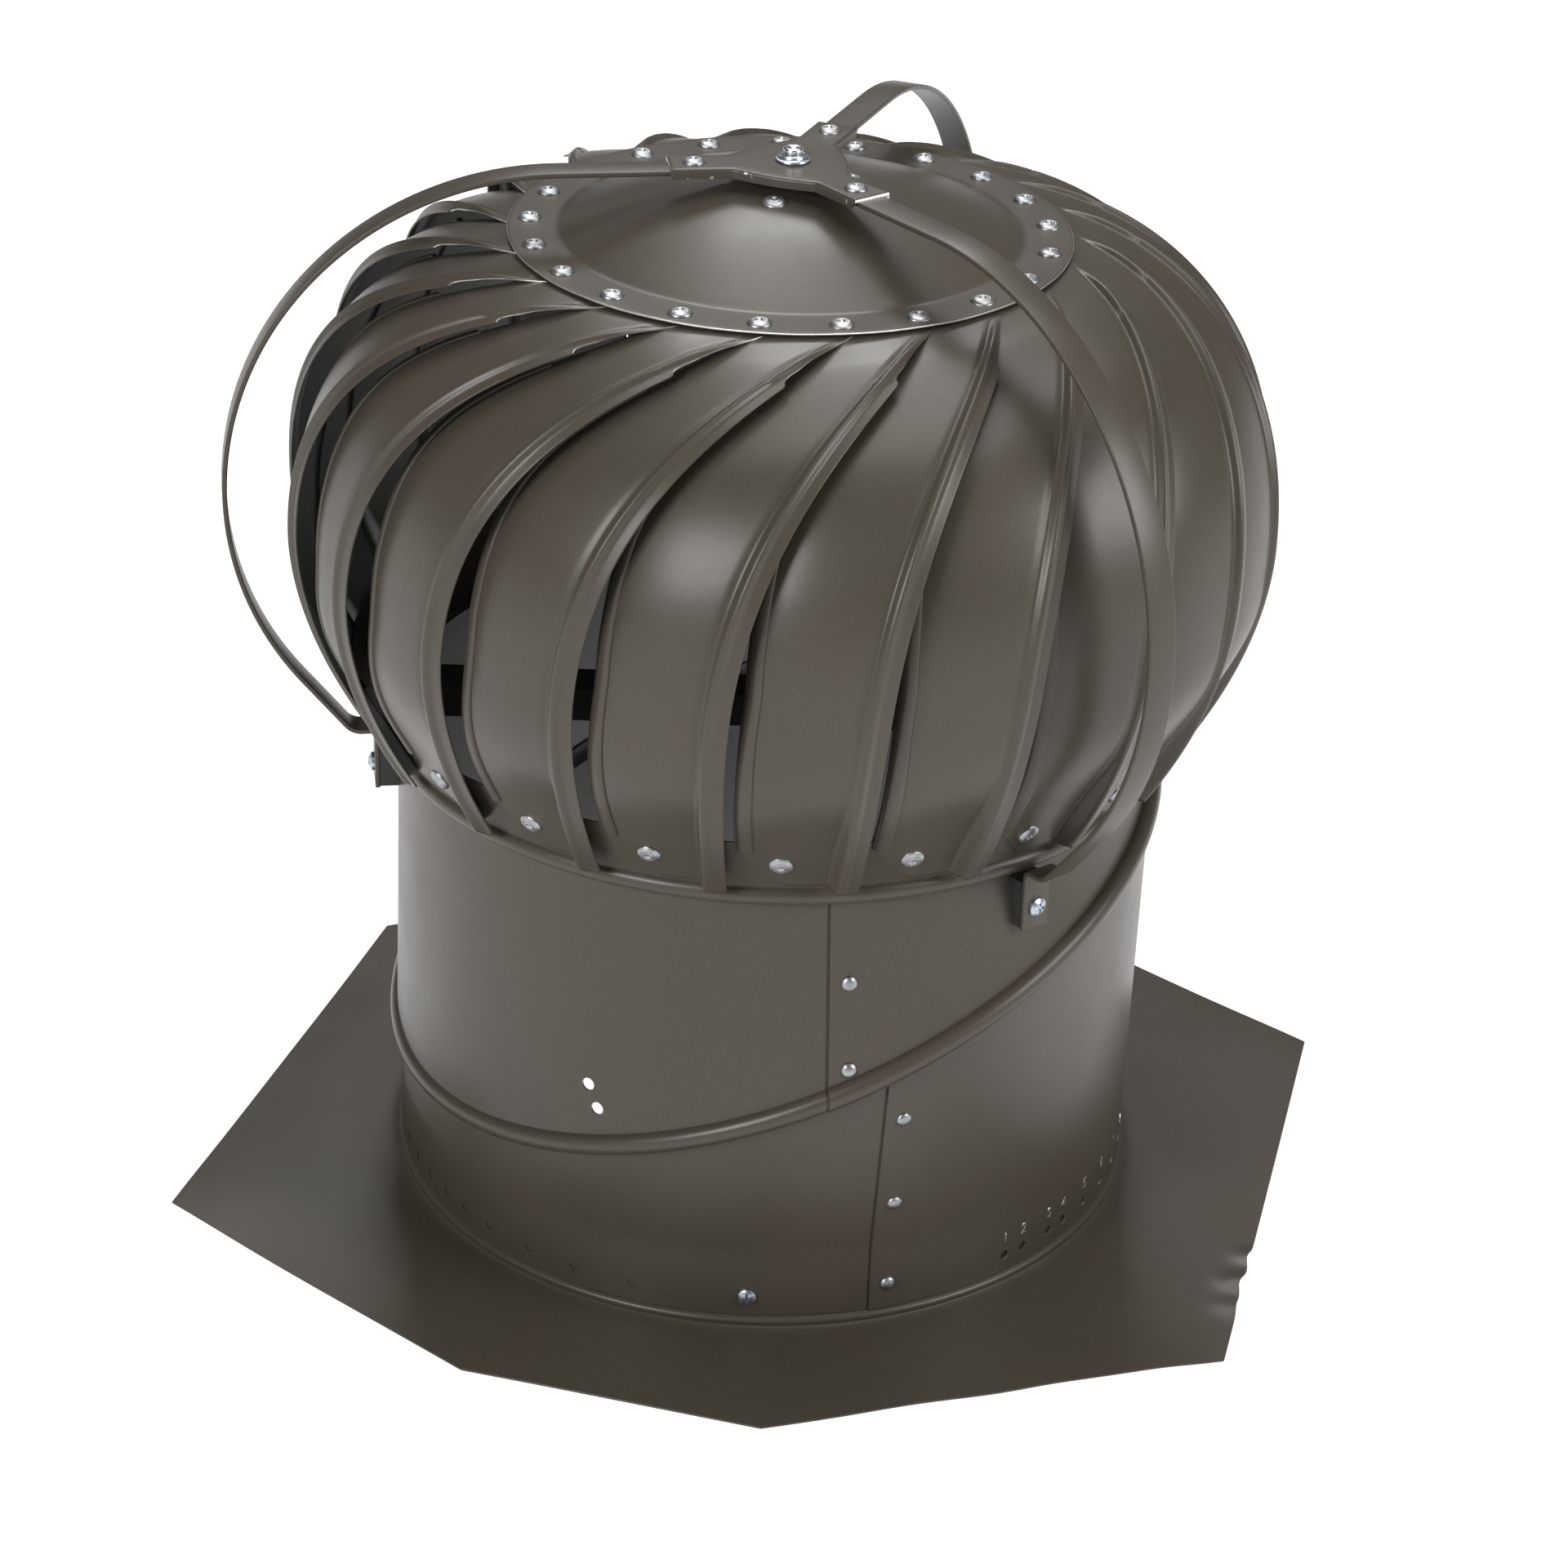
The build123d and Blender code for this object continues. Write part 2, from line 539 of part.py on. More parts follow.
def make_arm(angle_deg):
    path = arm_path()[0]
    section = Plane(origin=path @ 0, x_dir=(0, 0, 1), z_dir=path % 0) * Rectangle(ARM_WIDTH, ARM_THICK)
    arm = Rot(0, 0, angle_deg) * Rot(90, 0, 0) * sweep(section, path=path)
    arm -= aimed(foot_centre()[0], angle_deg, foot_centre()[1]) * Cylinder(FOOT_SCREW[2], 20)
    return arm - Pos(polar(HUB_RIVET_R, angle_deg, ARM_Z)) * Cylinder(SEAM_RIVET[2], 20)


def hub_outline(shrink):
    leg = Rectangle(HUB_LEG, HUB_LEG_WIDTH - 2 * shrink, align=(Align.MIN, Align.CENTER))
    plan = Circle(HUB_EYE_R - shrink)
    for angle in ARM_DEG:
        plan += Rot(0, 0, angle) * leg
    return plan


def make_hub_plate():
    """Y-shaped plate over the arms, with its long edges turned down and its leg ends open."""
    skirt_bottom = HUB_PLATE_TOP - HUB_SKIRT
    plate = Pos(0, 0, skirt_bottom) * extrude(hub_outline(0), HUB_SKIRT)
    hollow = hub_outline(HUB_PLATE_THICK)
    for angle in ARM_DEG:
        hollow += Rot(0, 0, angle) * Rectangle(2 * HUB_LEG, ARM_WIDTH + 0.6, align=(Align.MIN, Align.CENTER))
    plate -= Pos(0, 0, skirt_bottom) * extrude(hollow, HUB_SKIRT - HUB_PLATE_THICK)
    plate -= Pos(0, 0, HUB_PLATE_TOP) * Cylinder(6.4, 20)
    for frame in hub_rivet_frames():
        plate -= frame * Cylinder(SEAM_RIVET[2], 20)
    return plate


def hub_rivet_frames():
    return [Plane(origin=polar(HUB_RIVET_R, angle, HUB_PLATE_TOP), z_dir=(0, 0, 1)) for angle in ARM_DEG]


def make_upper_bush():
    low = HUB_PLATE_TOP - HUB_SKIRT
    tall = HUB_PLATE_TOP - low
    bush = Pos(0, 0, low) * Cylinder(6.4, tall, align=(Align.CENTER, Align.CENTER, Align.MIN))
    return bush - Cylinder(BORE_R, 2 * HUB_PLATE_TOP + 10)


def make_spacer(angle_deg, outside):
    """Block between an arm's tab and the curved collar wall."""
    face_r, foot_z = foot_centre()
    block = aimed(face_r, angle_deg, foot_z + SPACER_RISE) * Box(SPACER_WIDTH, SPACER_TALL, 16,
                                                                 align=(Align.CENTER, Align.CENTER, Align.MAX))
    block -= outside
    return block - aimed(face_r, angle_deg, foot_z) * Cylinder(FOOT_SCREW[2], 60)


# ---- Assembly -------------------------------------------------------------

def as_group(solids):
    return Compound([part for piece in solids for part in piece.solids()])


def make_all():
    upper_outside = upper_body(0)
    lower_outside = lower_body(0)
    nodes["flashing"] = make_flashing()
    nodes["lower_collar"] = make_lower_collar()
    lower_seam = seam_rivet_frames(lower_outside, LOWER_SEAM_DEG, LOWER_SEAM_RIVET_Z)
    nodes["lower_seam_rivets"] = as_group(frame * flush_rivet(SEAM_RIVET, SHEET) for frame in lower_seam)
    clamp = aimed(COLLAR_R, CLAMP_DEG, CLAMP_Z)
    nodes["clamp_screw"] = clamp * pan_screw(CLAMP_SCREW, SHEET + SLIP_GAP / 4)

    nodes["upper_collar"] = make_upper_collar(upper_outside)
    upper_seam = seam_rivet_frames(upper_outside, UPPER_SEAM_DEG, UPPER_SEAM_RIVET_Z)
    nodes["upper_seam_rivets"] = as_group(frame * rivet(SEAM_RIVET, SHEET) for frame in upper_seam)
    nodes["cross_bar"] = make_cross_bar()
    nodes["cross_bar_rivets"] = as_group(frame * rivet(BAR_RIVET, UPPER_TOP_R - BAR_HALF + BAR_SHEET)
                                         for frame in bar_rivet_frames())
    nodes["lower_bearing"] = make_lower_bearing()
    nodes["thrust_ball"] = make_thrust_ball()
    face_r, foot_z = foot_centre()
    for number, angle in enumerate(ARM_DEG, 1):
        nodes[f"brace_arm_{number}"] = make_arm(angle)
        nodes[f"brace_spacer_{number}"] = make_spacer(angle, upper_outside)
    feet = [aimed(face_r + ARM_THICK, angle, foot_z) for angle in ARM_DEG]
    nodes["brace_foot_screws"] = as_group(frame * pan_screw(FOOT_SCREW, 16) for frame in feet)
    nodes["brace_hub_plate"] = make_hub_plate()
    nodes["brace_hub_rivets"] = as_group(frame * rivet(SEAM_RIVET, HUB_PLATE_THICK + ARM_THICK)
                                         for frame in hub_rivet_frames())
    nodes["upper_bush"] = make_upper_bush()

    nodes["lower_ring"] = make_lower_ring()
    first_blade = make_first_blade()
    for blade in range(BLADE_COUNT):
        nodes[f"blade_{blade + 1:02d}"] = Rot(0, 0, blade * PITCH_DEG) * first_blade
    nodes["blade_foot_rivets"] = as_group(lower_rivet_frame(blade) * rivet(BLADE_RIVET, FOOT_GRIP)
                                          for blade in range(BLADE_COUNT))
    nodes["crown"] = make_crown()
    nodes["crown_rivets"] = as_group(crown_rivet_frame(blade) * rivet(BLADE_RIVET, CROWN_GRIP)
                                     for blade in range(BLADE_COUNT))
    nodes["rotor_hub"] = make_rotor_hub()
    nodes["rotor_hub_rivets"] = as_group(frame * rivet(BLADE_RIVET, 3.3) for frame in dome_rivet_frames())
    nodes["spindle"] = make_spindle()
    nodes["spindle_retainer"] = make_retainer()


make_all()
for name, shape in nodes.items():
    export_step(shape, f"parts/{name}.step")
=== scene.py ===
import math

import bmesh
import bpy
import numpy as np
from mathutils import Matrix, Vector


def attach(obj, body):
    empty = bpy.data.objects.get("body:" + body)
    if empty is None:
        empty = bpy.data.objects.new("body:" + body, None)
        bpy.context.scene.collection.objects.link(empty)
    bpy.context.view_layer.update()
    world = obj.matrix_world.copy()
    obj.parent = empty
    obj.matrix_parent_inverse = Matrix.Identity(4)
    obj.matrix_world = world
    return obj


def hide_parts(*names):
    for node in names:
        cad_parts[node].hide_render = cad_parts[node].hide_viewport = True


# Externally braced roof turbine vent. The part's lengths are millimetres in its own frame. Materials, floor,
# lights and camera are in metres.
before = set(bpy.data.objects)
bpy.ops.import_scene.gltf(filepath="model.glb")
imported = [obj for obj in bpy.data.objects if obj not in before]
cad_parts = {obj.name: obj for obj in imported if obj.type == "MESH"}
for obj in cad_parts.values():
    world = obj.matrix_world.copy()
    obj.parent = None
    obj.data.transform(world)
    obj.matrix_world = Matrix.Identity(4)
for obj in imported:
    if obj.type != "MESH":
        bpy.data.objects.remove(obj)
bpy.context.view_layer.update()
MM = 0.001
WELD = 1e-5                         # metres within which points are joined

BLADES = 21
PITCH = 360 / BLADES
FIRST = -88.5                       # azimuth of the first blade's lower rivet
SHEET = 0.8


# ---------------------------------------------------------------- materials

def node_material(name):
    mat = bpy.data.materials.new(name)
    mat.use_nodes = True
    tree = mat.node_tree
    return mat, tree, tree.nodes["Principled BSDF"]


def add(tree, kind, **values):
    """New node. A name with an underscore before it is a setting, and any other is an input."""
    node = tree.nodes.new(kind)
    for key, value in values.items():
        if key.startswith("_"):
            setattr(node, key[1:], value)
        else:
            node.inputs[key].default_value = value
    return node


def noise(tree, coords, scale, detail=3.0, rough=0.55, stretch=None):
    source = coords
    if stretch:
        mapping = add(tree, "ShaderNodeMapping")
        mapping.inputs["Scale"].default_value = stretch
        tree.links.new(coords, mapping.inputs["Vector"])
        source = mapping.outputs["Vector"]
    node = add(tree, "ShaderNodeTexNoise", Scale=scale, Detail=detail, Roughness=rough)
    tree.links.new(source, node.inputs["Vector"])
    return node.outputs["Fac"]


def ramp(tree, fac, stops):
    node = tree.nodes.new("ShaderNodeValToRGB")
    elements = node.color_ramp.elements
    while len(elements) < len(stops):
        elements.new(0.5)
    for element, (place, colour) in zip(elements, stops):
        element.position = place
        element.color = (*colour, 1)
    tree.links.new(fac, node.inputs["Fac"])
    return node.outputs["Color"]


def grey(v):
    return (v, v, v)


def mix(tree, fac, a, b, blend="MIX"):
    node = add(tree, "ShaderNodeMix", _data_type="RGBA", _blend_type=blend)
    for socket, value in ((node.inputs[0], fac), (node.inputs[6], a), (node.inputs[7], b)):
        if isinstance(value, bpy.types.NodeSocket):
            tree.links.new(value, socket)
        else:
            socket.default_value = value
    return node.outputs[2]


def bump(tree, shader, height, strength, distance):
    node = add(tree, "ShaderNodeBump", Strength=strength, Distance=distance)
    tree.links.new(height, node.inputs["Height"])
    tree.links.new(node.outputs["Normal"], shader.inputs["Normal"])


def paint(name, wear=0.0, tone=(0.052, 0.0435, 0.0325), rough=0.36, shine=0.36):
    """Satin brown-grey paint: slow olive and purple drift, fine grain, and bare metal where it has worn."""
    mat, tree, shader = node_material(name)
    coords = add(tree, "ShaderNodeTexCoord").outputs["Object"]
    red, green, blue = tone
    base = ramp(tree, noise(tree, coords, 7.0, 2.0), [
        (0.30, (red * 0.94, green * 0.98, blue * 0.95)),
        (0.50, tone),
        (0.70, (red * 1.06, green, blue * 1.06))])
    speck = ramp(tree, noise(tree, coords, 900.0, 2.0), [(0.35, grey(0.93)), (0.65, grey(1.07))])
    colour = mix(tree, 1.0, base, speck, "MULTIPLY")
    if wear:
        chips = noise(tree, coords, 210.0, 2.0, 0.5)
        patches = noise(tree, coords, 11.0, 2.0, 0.5)
        total = add(tree, "ShaderNodeMath", _operation="ADD")
        tree.links.new(chips, total.inputs[0])
        tree.links.new(patches, total.inputs[1])
        mean = add(tree, "ShaderNodeMath", _operation="MULTIPLY")
        tree.links.new(total.outputs[0], mean.inputs[0])
        mean.inputs[1].default_value = 0.5
        level = 0.71 - 0.25 * wear
        worn = ramp(tree, mean.outputs[0], [(level, grey(0.0)), (level + 0.02, grey(1.0))])
        colour = mix(tree, worn, colour, (0.62, 0.60, 0.58, 1))
        tree.links.new(worn, shader.inputs["Metallic"])
    smudge = noise(tree, coords, 26.0, 4.0)
    roughness = ramp(tree, smudge, [(0.30, grey(rough - 0.035)), (0.72, grey(rough + 0.05))])
    tree.links.new(colour, shader.inputs["Base Color"])
    tree.links.new(roughness, shader.inputs["Roughness"])
    shader.inputs["Specular IOR Level"].default_value = shine
    shader.inputs["Coat Weight"].default_value = 0.05
    shader.inputs["Coat Roughness"].default_value = 0.22
    bump(tree, shader, noise(tree, coords, 420.0, 2.0), 0.06, 0.0004)
    return mat


def metal(name, colour, rough, brushed=False, mottle=0.12):
    """Bare aluminium, zinc or steel with fine scuffs, drawn out along Z where it is brushed."""
    mat, tree, shader = node_material(name)
    coords = add(tree, "ShaderNodeTexCoord").outputs["Object"]
    dark = tuple(c * (1 - mottle) for c in colour)
    light = tuple(min(1.0, c * (1 + mottle)) for c in colour)
    base = ramp(tree, noise(tree, coords, 380.0, 4.0), [(0.3, dark), (0.7, light)])
    scale, stretch = (260.0, (1, 1, 12)) if brushed else (1500.0, None)
    scuff = noise(tree, coords, scale, 3.0, 0.6, stretch)
    roughness = ramp(tree, scuff, [(0.3, grey(rough * 0.75)), (0.7, grey(rough * 1.3))])
    tree.links.new(base, shader.inputs["Base Color"])
    tree.links.new(roughness, shader.inputs["Roughness"])
    shader.inputs["Metallic"].default_value = 1.0
    bump(tree, shader, scuff, 0.12, 0.0003)
    return mat


def plastic(name, colour, rough):
    """Dull moulded rubber or plastic."""
    mat, tree, shader = node_material(name)
    coords = add(tree, "ShaderNodeTexCoord").outputs["Object"]
    grain = noise(tree, coords, 700.0, 3.0)
    base = ramp(tree, grain, [(0.3, tuple(c * 0.8 for c in colour)), (0.7, colour)])
    roughness = ramp(tree, grain, [(0.3, grey(rough - 0.06)), (0.7, grey(rough + 0.06))])
    tree.links.new(base, shader.inputs["Base Color"])
    tree.links.new(roughness, shader.inputs["Roughness"])
    bump(tree, shader, grain, 0.15, 0.0003)
    return mat


PAINT = paint("paint_satin")
PAINT_WORN = paint("paint_worn_edge", wear=0.9)
PAINT_CHIPPED = paint("paint_chipped", wear=0.3)
# grey backer coat on the sheets' inner faces, partly real coat and partly painted light: its light tone
# stands in for light reaching the interior
BACKER_AND_PAINTED_LIGHT = paint("backer_coat_and_painted_light", tone=(0.17, 0.172, 0.165), rough=0.5, shine=0.3)
# painted shadow: near-black paint put where there is only shade, under the blades' corners, in the pilot
# marks and behind the pitch holes
PAINTED_SHADOW = paint("painted_shadow", tone=(0.014, 0.013, 0.011), rough=0.6, shine=0.2)
# painted shade: near-black paint for the cross bar, which sits in shade inside the collar
BAR_PAINTED_SHADE = paint("bar_painted_shade", tone=(0.012, 0.012, 0.011), rough=0.5, shine=0.2)
CUT_EDGE = metal("sheet_cut_edge", (0.62, 0.60, 0.57), 0.42)
RIVET = metal("rivet_aluminium", (0.33, 0.34, 0.35), 0.38, mottle=0.25)
ZINC = metal("zinc_plate", (0.44, 0.49, 0.55), 0.3)
STEEL = metal("spindle_steel", (0.70, 0.71, 0.72), 0.2, brushed=True)
# near-black dull finish of the brace spacers
SPACER_BLACK = plastic("spacer_black", (0.018, 0.018, 0.018), 0.55)
BEARING = plastic("bearing_plastic", (0.42, 0.42, 0.40), 0.45)


# ---------------------------------------------------------------- mesh helpers

def polar(radius, degrees, z=0.0):
    """Points at a radius, azimuth and height."""
    radius, a, z = np.broadcast_arrays(radius, np.radians(degrees), z)
    return np.stack([radius * np.cos(a), radius * np.sin(a), z], -1)


def unit(v):
    return v / np.maximum(np.linalg.norm(v, axis=-1, keepdims=True), 1e-12)


class Build:
    """Collects faces and their material slots, and makes one object of them."""

    def __init__(self):
        self.points, self.faces, self.slots, self.count = [], [], [], 0

    def take(self, points):
        """Adds points and says the index of the first one."""
        base = self.count
        self.points.append(points)
        self.count += len(points)
        return base

    def grid(self, pts, slot=0, wrap=False, flip=False):
        """Adds a surface through pts[i, j]; wrap closes it along i."""
        n, m = pts.shape[:2]
        base = self.take(pts.reshape(-1, 3))
        table = np.broadcast_to(np.asarray(slot), (n, m - 1))
        for i in range(n if wrap else n - 1):
            k = (i + 1) % n
            for j in range(m - 1):
                quad = (base + i * m + j, base + k * m + j, base + k * m + j + 1, base + i * m + j + 1)
                self.faces.append(quad[::-1] if flip else quad)
                self.slots.append(int(table[i, j]))

    def loft(self, rings, slot=0):
        """Adds a tube through rings[k, j], each ring closed, with no end caps."""
        self.grid(np.swapaxes(np.asarray(rings), 0, 1), slot, wrap=True)

    def cap(self, ring, slot=0, flip=False):
        """Adds one face with the ring as its outline."""
        base = self.take(np.asarray(ring))
        face = tuple(range(base, base + len(ring)))
        self.faces.append(face[::-1] if flip else face)
        self.slots.append(slot)

    def make(self, name, body, materials, sharp, replaces=()):
        """Makes the object, smooth but for edges that turn by more than sharp degrees."""
        mesh = bpy.data.meshes.new(name)
        verts = np.concatenate(self.points) * MM
        mesh.from_pydata(verts.tolist(), [], self.faces)
        for mat in materials:
            mesh.materials.append(mat)
        mesh.polygons.foreach_set("material_index", np.array(self.slots, np.int32))
        bm = bmesh.new()
        bm.from_mesh(mesh)
        bmesh.ops.remove_doubles(bm, verts=bm.verts, dist=WELD)
        bmesh.ops.recalc_face_normals(bm, faces=bm.faces)
        bm.to_mesh(mesh)
        bm.free()
        mesh.polygons.foreach_set("use_smooth", np.ones(len(mesh.polygons), bool))
        mesh.set_sharp_from_angle(angle=math.radians(sharp))
        obj = bpy.data.objects.new(name, mesh)
        bpy.context.scene.collection.objects.link(obj)
        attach(obj, body)
        if replaces:
            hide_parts(*replaces)
        return obj


def thin_sheet(build, outer, inner, slots, wrap=False):
    """Closed sheet between two grids; slots are outer, inner, then the rims at j=0, j=-1, i=0, i=-1."""
    build.grid(outer, slots[0], wrap)
    build.grid(inner, slots[1], wrap, flip=True)
    rims = [(outer[:, 0], inner[:, 0], outer[:, 1]), (outer[:, -1], inner[:, -1], outer[:, -2])]
    if not wrap:
        rims += [(outer[0], inner[0], outer[1]), (outer[-1], inner[-1], outer[-2])]
    for slot, (a, b, before) in zip(slots[2:], rims):
        out = unit(a - before) * np.linalg.norm(a - b, axis=-1, keepdims=True) * 0.12
        steps = [a, a * 0.86 + b * 0.14 + out, a * 0.14 + b * 0.86 + out, b]
        build.grid(np.stack(steps, 1), slot, wrap)


def ease(x, low, high):
    t = np.clip((x - low) / (high - low), 0, 1)
    return t * t * (3 - 2 * t)


def smooth_table(x, table):
    """Monotone cubic through the table's points."""
    xs, ys = (np.array(v, float) for v in zip(*table))
    h = np.diff(xs)
    d = np.diff(ys) / h
    m = np.zeros(len(xs))
    m[1:-1] = np.where(d[:-1] * d[1:] > 0, 2 * d[:-1] * d[1:] / (d[:-1] + d[1:] + 1e-12), 0)
    m[0], m[-1] = d[0], d[-1]
    x = np.clip(x, xs[0], xs[-1])
    k = np.clip(np.searchsorted(xs, x, side="right") - 1, 0, len(xs) - 2)
    t = (x - xs[k]) / h[k]
    return ((2 * t ** 3 - 3 * t ** 2 + 1) * ys[k] + (t ** 3 - 2 * t ** 2 + t) * h[k] * m[k]
            + (-2 * t ** 3 + 3 * t ** 2) * ys[k + 1] + (t ** 3 - t ** 2) * h[k] * m[k + 1])


# ---------------------------------------------------------------- turbine head
WIDEST_R, WIDEST_Z = 200.0, 300.0
SHOULDER_R, SHOULDER_Z = 100.0, 113.0
SEAT_Z = 412.9                      # height where the lips meet the crown's underside


def meridian():
    """Line that the blades' lips follow, as arc length, radius and height, from the ring up to the crown."""
    z_low = np.linspace(205.5, WIDEST_Z, 160)
    r_low = WIDEST_R - 0.00726 * (WIDEST_Z - z_low) ** 1.85
    turn = np.linspace(0, math.pi / 2, 260)[1:]
    power = 2 / 2.2
    r_high = WIDEST_R - SHOULDER_R + SHOULDER_R * np.cos(turn) ** power
    z_high = WIDEST_Z + SHOULDER_Z * np.sin(turn) ** power
    r = np.concatenate([r_low, r_high, np.linspace(99, 90, 12)])
    z = np.minimum(np.concatenate([z_low, z_high, np.full(12, SEAT_Z)]), SEAT_Z)
    s = np.concatenate([[0], np.cumsum(np.hypot(np.diff(r), np.diff(z)))])
    rising = slice(0, 400)
    return s - np.interp(207.0, z[rising], s[rising]), r, z


MER_S, MER_R, MER_Z = meridian()


def mer(s):
    """Radius, height and outward normal of the meridian at arc length s."""
    r, z = np.interp(s, MER_S, MER_R), np.interp(s, MER_S, MER_Z)
    h = 2.5
    dr = np.interp(s + h, MER_S, MER_R) - np.interp(s - h, MER_S, MER_R)
    dz = np.interp(s + h, MER_S, MER_Z) - np.interp(s - h, MER_S, MER_Z)
    n = np.hypot(dr, dz)
    return r, z, dz / n, -dr / n

# the lower ring's cone, from its foot to its top, as (radius, height)
CONE_FOOT = np.array([159.6, 206.0])
CONE_TOP = np.array([175.3, 234.0])
CONE_RUN = (CONE_TOP - CONE_FOOT) / np.linalg.norm(CONE_TOP - CONE_FOOT)
CONE_OUT = np.array([CONE_RUN[1], -CONE_RUN[0]])
CONE_LIFT = -math.degrees(math.atan2(CONE_TOP[0] - CONE_FOOT[0], CONE_TOP[1] - CONE_FOOT[1]))

RIB = 12.0                          # width of the lip and rib together
NEAREST_R = 95.0                    # azimuths are worked out as if no nearer the axis than this


def blade_width(s):
    """Millimetres from a blade's lip to its tucked edge, which runs in under the next lip higher up."""
    degrees = smooth_table(s, [(0, 16.0), (98, 16.0), (120, 16.7), (145, 18.1), (170, 20.0), (200, 21.7),
                               (225, 22.4), (245, 22.2), (280, 21.2)])
    return np.radians(degrees) * np.maximum(np.interp(s, MER_S, MER_R), NEAREST_R)


def lip_angle(s):
    """Azimuth of a blade's lip from its lower rivet."""
    return 10.2 + 20.6 * (np.maximum(s, 0) / 223.0) ** 3.9


def cut_angle(s):
    """Azimuth of the slanting cut that ends the lip below the crown."""
    return smooth_table(s, [(205, 70.0), (222, 40.0), (230.0, 32.6), (238.0, 35.0), (246.0, 38.2),
                            (254.0, 42.0), (259.5, 44.9), (268, 49.6), (280, 53.0)])


def tuck(s):
    """How far the tucked edge lies inside the lips' envelope."""
    return smooth_table(s, [(0, 6.0), (24, 6.8), (60, 9.6), (100, 10.6), (136, 12.4), (168, 13.2),
                            (200, 12.6), (228, 9.6), (243, 6.2), (256, 1.9), (262, 0.5), (280, 0.5)])


def blade_surface(s, d, wave=0.0):
    """Radius, azimuth and height of a blade's outer face at arc length s and a distance d in from its lip."""
    r, z, nr, nz = mer(s)
    across = np.clip((d - RIB) / np.maximum(blade_width(s) - RIB, 1), 0, 1.2)
    fade = 1 - ease(s, 240.0, 258.0)
    inside = ease(d, 8.2, 12.4)
    body = -tuck(s) * (0.14 + 0.60 * across ** 1.1 + 0.26 * across ** 5) - 0.5 * (1 - fade)
    rib = smooth_table(d, [(0, -0.85), (4.4, -0.55), (6.3, 0.6), (7.5, 1.05), (8.7, 0.6), (10.4, -0.8),
                           (12.0, -0.3), (14.2, 0.0), (20, 0.0)])
    band = rib * fade - 0.9 * (1 - fade) * (1 - inside)
    offset = body * inside + band + wave
    free_r, free_z = r + nr * offset, z + nz * offset
    # on the ring the sheet lies flat against the cone, and only the rib and lip stand proud
    along = (r - CONE_FOOT[0]) * CONE_RUN[0] + (z - CONE_FOOT[1]) * CONE_RUN[1]
    seat = SHEET + 0.12
    proud = 1 - ease(d, 8.2, 11.8)
    ring_r = CONE_FOOT[0] + CONE_RUN[0] * along + CONE_OUT[0] * seat
    ring_z = CONE_FOOT[1] + CONE_RUN[1] * along + CONE_OUT[1] * seat
    ring_r = ring_r + (r + nr * band - ring_r) * proud
    ring_z = ring_z + (z + nz * band - ring_z) * proud
    foot = 1 - ease(z, 228.0, 296.0)
    angle = lip_angle(s) - np.degrees(d / np.maximum(r, NEAREST_R))
    return free_r + (ring_r - free_r) * foot, angle, free_z + (ring_z - free_z) * foot


def blade_points(s, d, turn, wave=0.0):
    """Points of the outer face of the blade whose lower rivet is at azimuth turn."""
    radius, angle, height = blade_surface(s, d, wave)
    return polar(radius, angle + turn, height)


# distances from the lip of the columns over the rib, and how many more share out the rest of the width
RIB_COLUMNS = (0, 0.5, 1.4, 2.6, 3.8, 4.6, 5.2, 5.8, 6.4, 7.0, 7.5, 8.0, 8.6, 9.2, 9.8, 10.4, 11.0, 11.6,
               12.2, 13.0, 14.2, 15.6)
FLAT_COLUMNS = 22
TOP_S = 270.0                       # arc length of a blade's top edge, under the crown
LIP_CORNER_S = 215.0                # below this the lip is whole
BARE_S = 228.0                      # above this the lip's rim is bare metal
HEM_TOP_S = 226.0
FOOT_Z = 209.2                      # height of a blade's straight lower edge


def sheet_normals(grid):
    normal = unit(np.cross(np.gradient(grid, axis=0), np.gradient(grid, axis=1)))
    away = grid - np.array([0, 0, WIDEST_Z])
    return normal * np.sign((normal * away).sum(-1, keepdims=True))


def foot_line(angle, d):
    """Height of a blade's lower outline: rounded lip end, straight foot, then the slanting corner."""
    low = FOOT_Z - 2.0 * (1 - ease(d, 4.0, 9.0)) + 1.4 * (1 - ease(d, 0.0, 2.2))
    return np.maximum(low, 209.9 + (0.55 - angle) * 22.0 / 6.95)


def blade_grid():
    """Arc length, and distance in from the lip, of each row and column of a blade."""
    shares = np.linspace(0, 1, FLAT_COLUMNS + 1)[1:]
    count = len(RIB_COLUMNS) + FLAT_COLUMNS

    def inward(s, column):
        if column < len(RIB_COLUMNS):
            return np.full_like(s, RIB_COLUMNS[column])
        return RIB_COLUMNS[-1] + (blade_width(s) - RIB_COLUMNS[-1]) * shares[column - len(RIB_COLUMNS)]

    t = np.concatenate([np.linspace(0, 0.14, 22), np.linspace(0.15, 0.80, 56), np.linspace(0.808, 1, 40)])
    s, d = np.zeros((len(t), count)), np.zeros((len(t), count))
    trial = np.linspace(-1.0, 42, 700)
    for column in range(count):
        reach = inward(trial, column)
        _, angle, height = blade_surface(trial, reach)
        start = trial[int(np.argmax(height >= foot_line(angle, reach)))]
        s[:, column] = start + (TOP_S - start) * t
        d[:, column] = inward(s[:, column], column)
    # past the lip's top corner the slanting cut crosses the rib
    squeeze = np.radians(lip_angle(s) - cut_angle(s)) * np.interp(s, MER_S, MER_R)
    squeeze = np.maximum(squeeze, 0) * (s > LIP_CORNER_S)
    full = blade_width(s)
    return s, np.where(squeeze > 0, squeeze + d * (full - squeeze) / full, d)


BLADE_S, BLADE_D = blade_grid()

# the hem's section over the roll: distance in from the tucked edge, and height off the sheet's face
HEM_INSET = np.array([6.7, 6.6, 5.9, 4.8, 3.6, 2.4, 1.3, 0.4, -0.25, -0.5, -0.3, 0.5])
HEM_LIFT = np.array([0.1, 0.75, 1.1, 1.3, 1.35, 1.15, 0.7, 0.05, -0.8, -1.6, -2.3, -2.6])[:, None]


